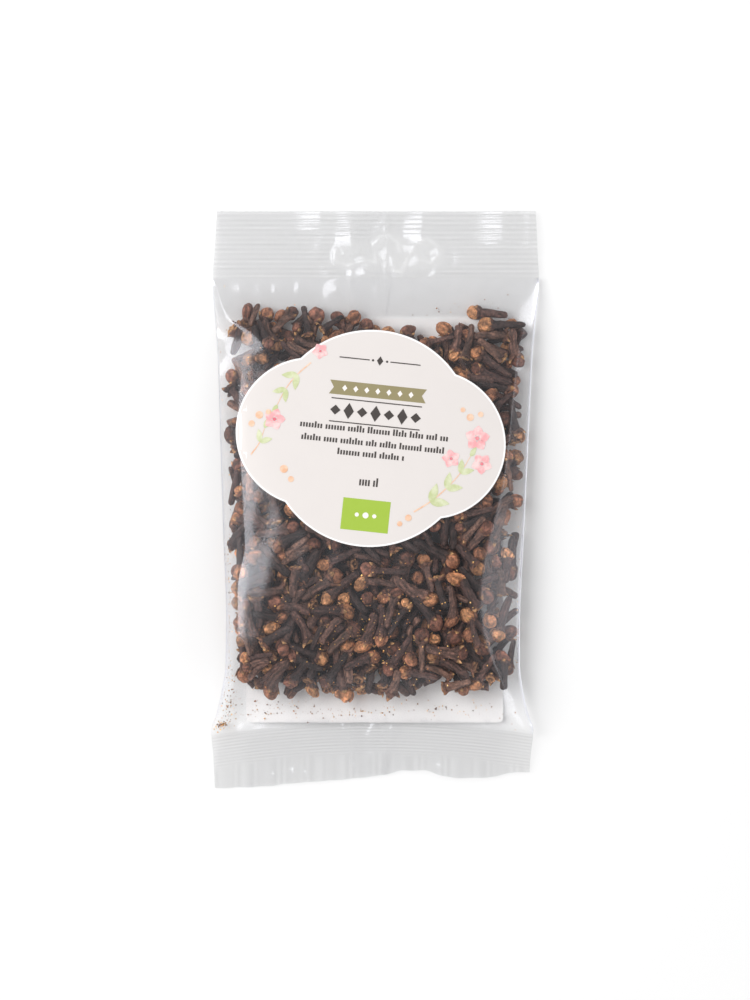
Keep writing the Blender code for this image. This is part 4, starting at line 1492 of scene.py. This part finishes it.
def turn_to(axis, roll):
    """Rows of a frame whose third row lies along an axis, rolled about it."""
    across = np.cross(axis, (0.0, 0.0, 1.0) if abs(axis[2]) < 0.9 else (1.0, 0.0, 0.0))
    across /= np.linalg.norm(across)
    third = np.cross(axis, across)
    cos, sin = math.cos(roll), math.sin(roll)
    return np.stack((cos * across + sin * third, -sin * across + cos * third, axis))


def make_grains(name, vertices, faces, tones, places, material):
    """One piece from many small bodies, with each one's tone, painted light and shade included, and own
    places kept on the mesh.
    """
    mesh = add_piece(name, (vertices, faces), material)
    colours = mesh.color_attributes.new("clove_tone_and_painted_shading", "FLOAT_COLOR", "POINT")
    colours.data.foreach_set("color", np.concatenate(tones).ravel())
    own = mesh.attributes.new("clove_place", "FLOAT_VECTOR", "POINT")
    own.data.foreach_set("vector", np.concatenate(places).ravel())


def press_inside(points):
    """Points that stick out of a film move back along its slope, as if the film pressed on them."""
    for _ in range(PRESS_ROUNDS):
        x, y = points[:, 0], points[:, 1]
        beside, ahead = film_heights(x + SLOPE_STEP, y), film_heights(x, y + SLOPE_STEP)
        here = film_heights(x, y)
        for film, sign in ((1, 1.0), (0, -1.0)):
            slope_x = (beside[film] - here[film]) / SLOPE_STEP
            slope_y = (ahead[film] - here[film]) / SLOPE_STEP
            excess = np.clip(sign * (points[:, 2] - here[film]) + PRESS_GAP, 0, None)
            shift = sign * excess / (1 + slope_x**2 + slope_y**2)
            points = points + np.stack((shift * slope_x, shift * slope_y, -shift), axis=-1)
    lower, upper = visible_heights(points[:, 0], points[:, 1])
    points[:, 2] = np.clip(points[:, 2], lower + 0.08, np.maximum(upper - 0.12, lower + 0.1))
    return points


def make_cloves(material):
    """All the cloves, joined into one piece for each kind."""
    rng = np.random.default_rng(CLOVE_SEED)
    heap = Heap(rng, CLOVE_COUNT, PIECE_COUNT)
    heap.settle(SETTLING_STEPS)
    kinds = {}
    for name, lengths, girth in CLOVE_KINDS:
        kinds[name] = [clove_shape(rng, length, True, girth) for length in lengths]
    kinds["cloves_headless"] = [clove_shape(rng, length, False) for length in BARE_STEMS]
    kinds["broken_stems"] = [stem_piece(rng) for _ in range(PIECE_SHAPES)]
    kinds["loose_heads"] = [loose_head(rng) for _ in range(PIECE_SHAPES)]
    headed = [name for name, _, _ in CLOVE_KINDS]
    part_tones = (STEM_TONES, HEAD_TONES, TOOTH_TONES, TIP_TONES, RING_TONES)
    palette = [[linear(code) for code in codes] for codes in part_tones]
    built = {name: ([], [], []) for name in kinds}
    for i in range(CLOVE_COUNT + PIECE_COUNT):
        if heap.headless[i]:
            name = "cloves_headless"
        elif heap.loose_head[i]:
            name = "loose_heads"
        elif heap.whole[i]:
            name = headed[rng.integers(len(headed))]
        else:
            name = "broken_stems"
        vertices, faces, labels, shade = kinds[name][rng.integers(len(kinds[name]))]
        placed = vertices * heap.scale[i] - (0, 0, heap.centre_along[i])
        placed = placed @ turn_to(heap.axis[i], heap.roll[i]) + heap.middle[i]
        tone = np.ones((len(vertices), 4))
        brightness = rng.uniform(0.7, 1.35)
        for part, choices in enumerate(palette):
            tone[labels == part] = choices[rng.integers(len(choices))]
        # Random brightness for each clove, times the painted shade and random tone of each vertex.
        tone[:, :3] *= (brightness * shade)[:, None]
        shapes, tones, places = built[name]
        shapes.append((placed, faces))
        tones.append(tone)
        places.append(vertices + rng.uniform(-OWN_PLACES, OWN_PLACES, 3))
    for name, (shapes, tones, places) in built.items():
        vertices, faces = join(shapes)
        make_grains(name, press_inside(vertices), faces, tones, places, material)


# Crumbs lie in patches: name of the film they lie on, middle (x, y), spread (x, y), count and largest size.
CRUMB_PATCHES = (
    ("lower", (-46.0, -67.4), (1.5, 1.2), 60, 0.8),
    ("lower", (-43.5, -61.0), (2.4, 5.5), 70, 0.6),
    ("lower", (-30.0, -62.5), (13.0, 2.8), 70, 0.6),
    ("lower", (-6.0, -63.8), (12.0, 1.6), 50, 0.6),
    ("lower", (22.0, -63.0), (16.0, 2.6), 46, 0.6),
    ("lower", (-43.4, -30.0), (0.8, 24.0), 90, 0.5),
    ("lower", (-42.0, 40.0), (2.5, 16.0), 26, 0.5),
    ("lower", (26.0, 57.0), (16.0, 3.4), 26, 0.5),
    ("lower", (42.0, -20.0), (1.0, 34.0), 34, 0.5),
    ("upper", (0.0, -35.0), (32.0, 18.0), 300, 0.55),
    ("upper", (-30.0, 30.0), (12.0, 24.0), 60, 0.5),
)
SMALLEST_CRUMB = 0.2
CRUMB_TONES = ("#a0703f", "#7d5030", "#c0924f", "#5f3d2a", "#d3a962", "#925f34")
# Painted light: how much brighter than its tone a crumb on each film is painted, to look lit through the film
# or right under it.
CRUMB_PAINTED_LIGHT = {"lower": 1.25, "upper": 2.6}


def crumb(rng, size):
    """One angular crumb: vertices and triangles about its own middle."""
    turn = np.arange(5) / 5 * 2 * math.pi
    around, level = np.meshgrid(turn, np.linspace(-0.6, 0.6, 3))
    r = np.sqrt(1 - level**2) * rng.uniform(0.6, 1.1, around.shape)
    body = np.stack((r * np.cos(around), r * np.sin(around), level), axis=-1)
    vertices, faces = ring_solid(body, (0, 0, -0.9), (0, 0, 0.9))
    stretch = size / 2 * np.array((1.0, rng.uniform(0.5, 1.0), rng.uniform(0.5, 1.6)))
    axis = rng.normal(size=3)
    return (vertices * stretch) @ turn_to(axis / np.linalg.norm(axis), 0.0), faces


def make_crumbs(material):
    """Crumbs and dust that broke off the cloves: small angular bits on the films and in the corners."""
    rng = np.random.default_rng(CRUMB_SEED)
    palette = [linear(code) for code in CRUMB_TONES]
    shapes, tones, places = [], [], []
    for film, (cx, cy), (sx, sy), count, largest in CRUMB_PATCHES:
        for _ in range(count):
            x, y = rng.normal(cx, sx * 0.6), rng.normal(cy, sy * 0.6)
            y = float(np.clip(y, FOOT_ROOT - foot_bow(x) + 0.4, HEADER_ROOT - 1.0))
            edge = float(through(HALF_WIDTH, y)) - 0.9
            x = float(np.clip(x, middle_x(y) - edge, middle_x(y) + edge))
            size = SMALLEST_CRUMB + (largest - SMALLEST_CRUMB) * rng.uniform(0.0, 1.0) ** 2
            lower, upper = (float(h) for h in visible_heights(x, y))
            if upper - lower < 1.3 * size or (film == "upper" and under_label(x, y) > 0):
                continue
            vertices, faces = crumb(rng, size)
            low, high = vertices[:, 2].min(), vertices[:, 2].max()
            z = lower + 0.05 - low if film == "lower" else upper - 0.08 - high
            shapes.append((vertices + (x, y, z), faces))
            tone = np.tile(palette[rng.integers(len(palette))], (len(vertices), 1))
            # Painted light: the crumb's tone is brightened by the film it lies on.
            tone[:, :3] *= CRUMB_PAINTED_LIGHT[film]
            tones.append(tone)
            places.append(vertices + rng.uniform(-OWN_PLACES, OWN_PLACES, 3))
    make_grains("clove_crumbs", *join(shapes), tones, places, material)


# Soft boxes: name, place, width, height (all in metres) and power in watts.
SOFT_BOXES = (
    ("key_left", (-0.75, 0.25, 1.05), 0.75, 1.2, 13.0),
    ("fill_right", (1.15, -0.1, 0.5), 1.0, 0.5, 1.7),
)
# The room's light: around the walls, on the ceiling over the camera, and the two heights between which
# the one turns into the other.
WALL_LIGHT = 0.85
CEILING_LIGHT = 0.4
WALL_TOP = 0.45
CEILING_EDGE = 0.9
FLOOR_HALF = 1500.0
# The camera looks straight down, in metres. The picture is as tall as FRAME_HEIGHT on the table.
CAMERA_HEIGHT = 1.2
FRAME_HEIGHT = 0.3
SENSOR_HEIGHT = 36.0


def make_room_light():
    """White studio walls, and a darker ceiling behind the camera."""
    world = bpy.data.worlds.new("studio")
    world.use_nodes = True
    tree = world.node_tree
    tree.nodes.clear()
    place = add_node(tree, "ShaderNodeTexCoord")
    split = add_node(tree, "ShaderNodeSeparateXYZ", {"Vector": place.outputs["Generated"]})
    span = {"From Min": WALL_TOP, "From Max": CEILING_EDGE, "To Min": WALL_LIGHT, "To Max": CEILING_LIGHT}
    strength = add_node(
        tree, "ShaderNodeMapRange", {"Value": split.outputs["Z"], **span}, interpolation_type="SMOOTHSTEP",
    )
    walls = add_node(
        tree, "ShaderNodeBackground", {"Color": linear("#ffffff"), "Strength": strength.outputs["Result"]},
    )
    add_node(tree, "ShaderNodeOutputWorld", {"Surface": walls.outputs[0]})
    bpy.context.scene.world = world


def make_soft_box(name, place, width, height, power):
    """A rectangular lamp that points at the bag."""
    light = bpy.data.lights.new(name, "AREA")
    light.shape = "RECTANGLE"
    light.size = width
    light.size_y = height
    light.energy = power
    lamp = bpy.data.objects.new(name, light)
    lamp.location = place
    lamp.rotation_euler = (-Vector(place)).to_track_quat("-Z", "Y").to_euler()
    bpy.context.scene.collection.objects.link(lamp)


def make_floor():
    """The sweep that the bag lies on, which isn't part of it."""
    corners = [(sx * FLOOR_HALF, sy * FLOOR_HALF, 0) for sx, sy in ((-1, -1), (1, -1), (1, 1), (-1, 1))]
    mesh = mesh_from("floor", corners, np.array(((0, 1, 2, 3),)))
    mesh.materials.append(painted_sweep("matt_white_floor"))
    floor = bpy.data.objects.new("floor", mesh)
    bpy.context.scene.collection.objects.link(floor)


def make_stage():
    """The floor, the studio's light and the camera."""
    make_floor()
    make_room_light()
    for soft_box in SOFT_BOXES:
        make_soft_box(*soft_box)

    camera = bpy.data.cameras.new("camera")
    camera.sensor_fit = "VERTICAL"
    camera.sensor_height = SENSOR_HEIGHT
    camera.lens = SENSOR_HEIGHT * CAMERA_HEIGHT / FRAME_HEIGHT
    eye = bpy.data.objects.new("camera", camera)
    eye.location = (0.0, 0.0, CAMERA_HEIGHT)
    scene = bpy.context.scene
    scene.collection.objects.link(eye)
    scene.camera = eye
    scene.view_settings.view_transform = "Standard"
    scene.cycles.transparent_max_bounces = 16


def main():
    """Makes the stage and every piece of the bag."""
    film = polypropylene_film("polypropylene_film", 0.075)
    welded = polypropylene_film("welded_polypropylene", 0.004)
    stock = coated_label_stock("coated_label_stock", "#e2dcd9", "#ded8d5")
    white = coated_label_stock("white_label_stock", "#fcfbfb", "#f8f6f6")
    inks = {
        "olive": printing_ink("olive_ink", "#978d68", "#918761", 0.4),
        "green": printing_ink("green_ink", "#9fbd38", "#a3c142", 0.4),
        "white": printing_ink("bare_white", "#f6f0ec", "#f2ece8", 0.4),
        "black": printing_ink("warm_black_ink", "#3a3431", "#443d3a", 0.4),
        "sage": printing_ink("sage_wash", "#c3cc97", "#dde1c0", 0.12),
        "peach": printing_ink("peach_wash", "#e9b693", "#f3d5bd", 0.12),
        "pink": printing_ink("pink_wash", "#f3a9ad", "#fad7d5", 0.12),
        "coral": printing_ink("coral_wash", "#e2707f", "#ee9aa0", 0.12),
    }
    make_stage()
    make_film(film)
    make_fin_seam(welded)
    make_front_label(stock, white)
    make_back_label(white)
    make_print(inks)
    spice = dried_clove("dried_clove")
    make_cloves(spice)
    make_crumbs(spice)


main()
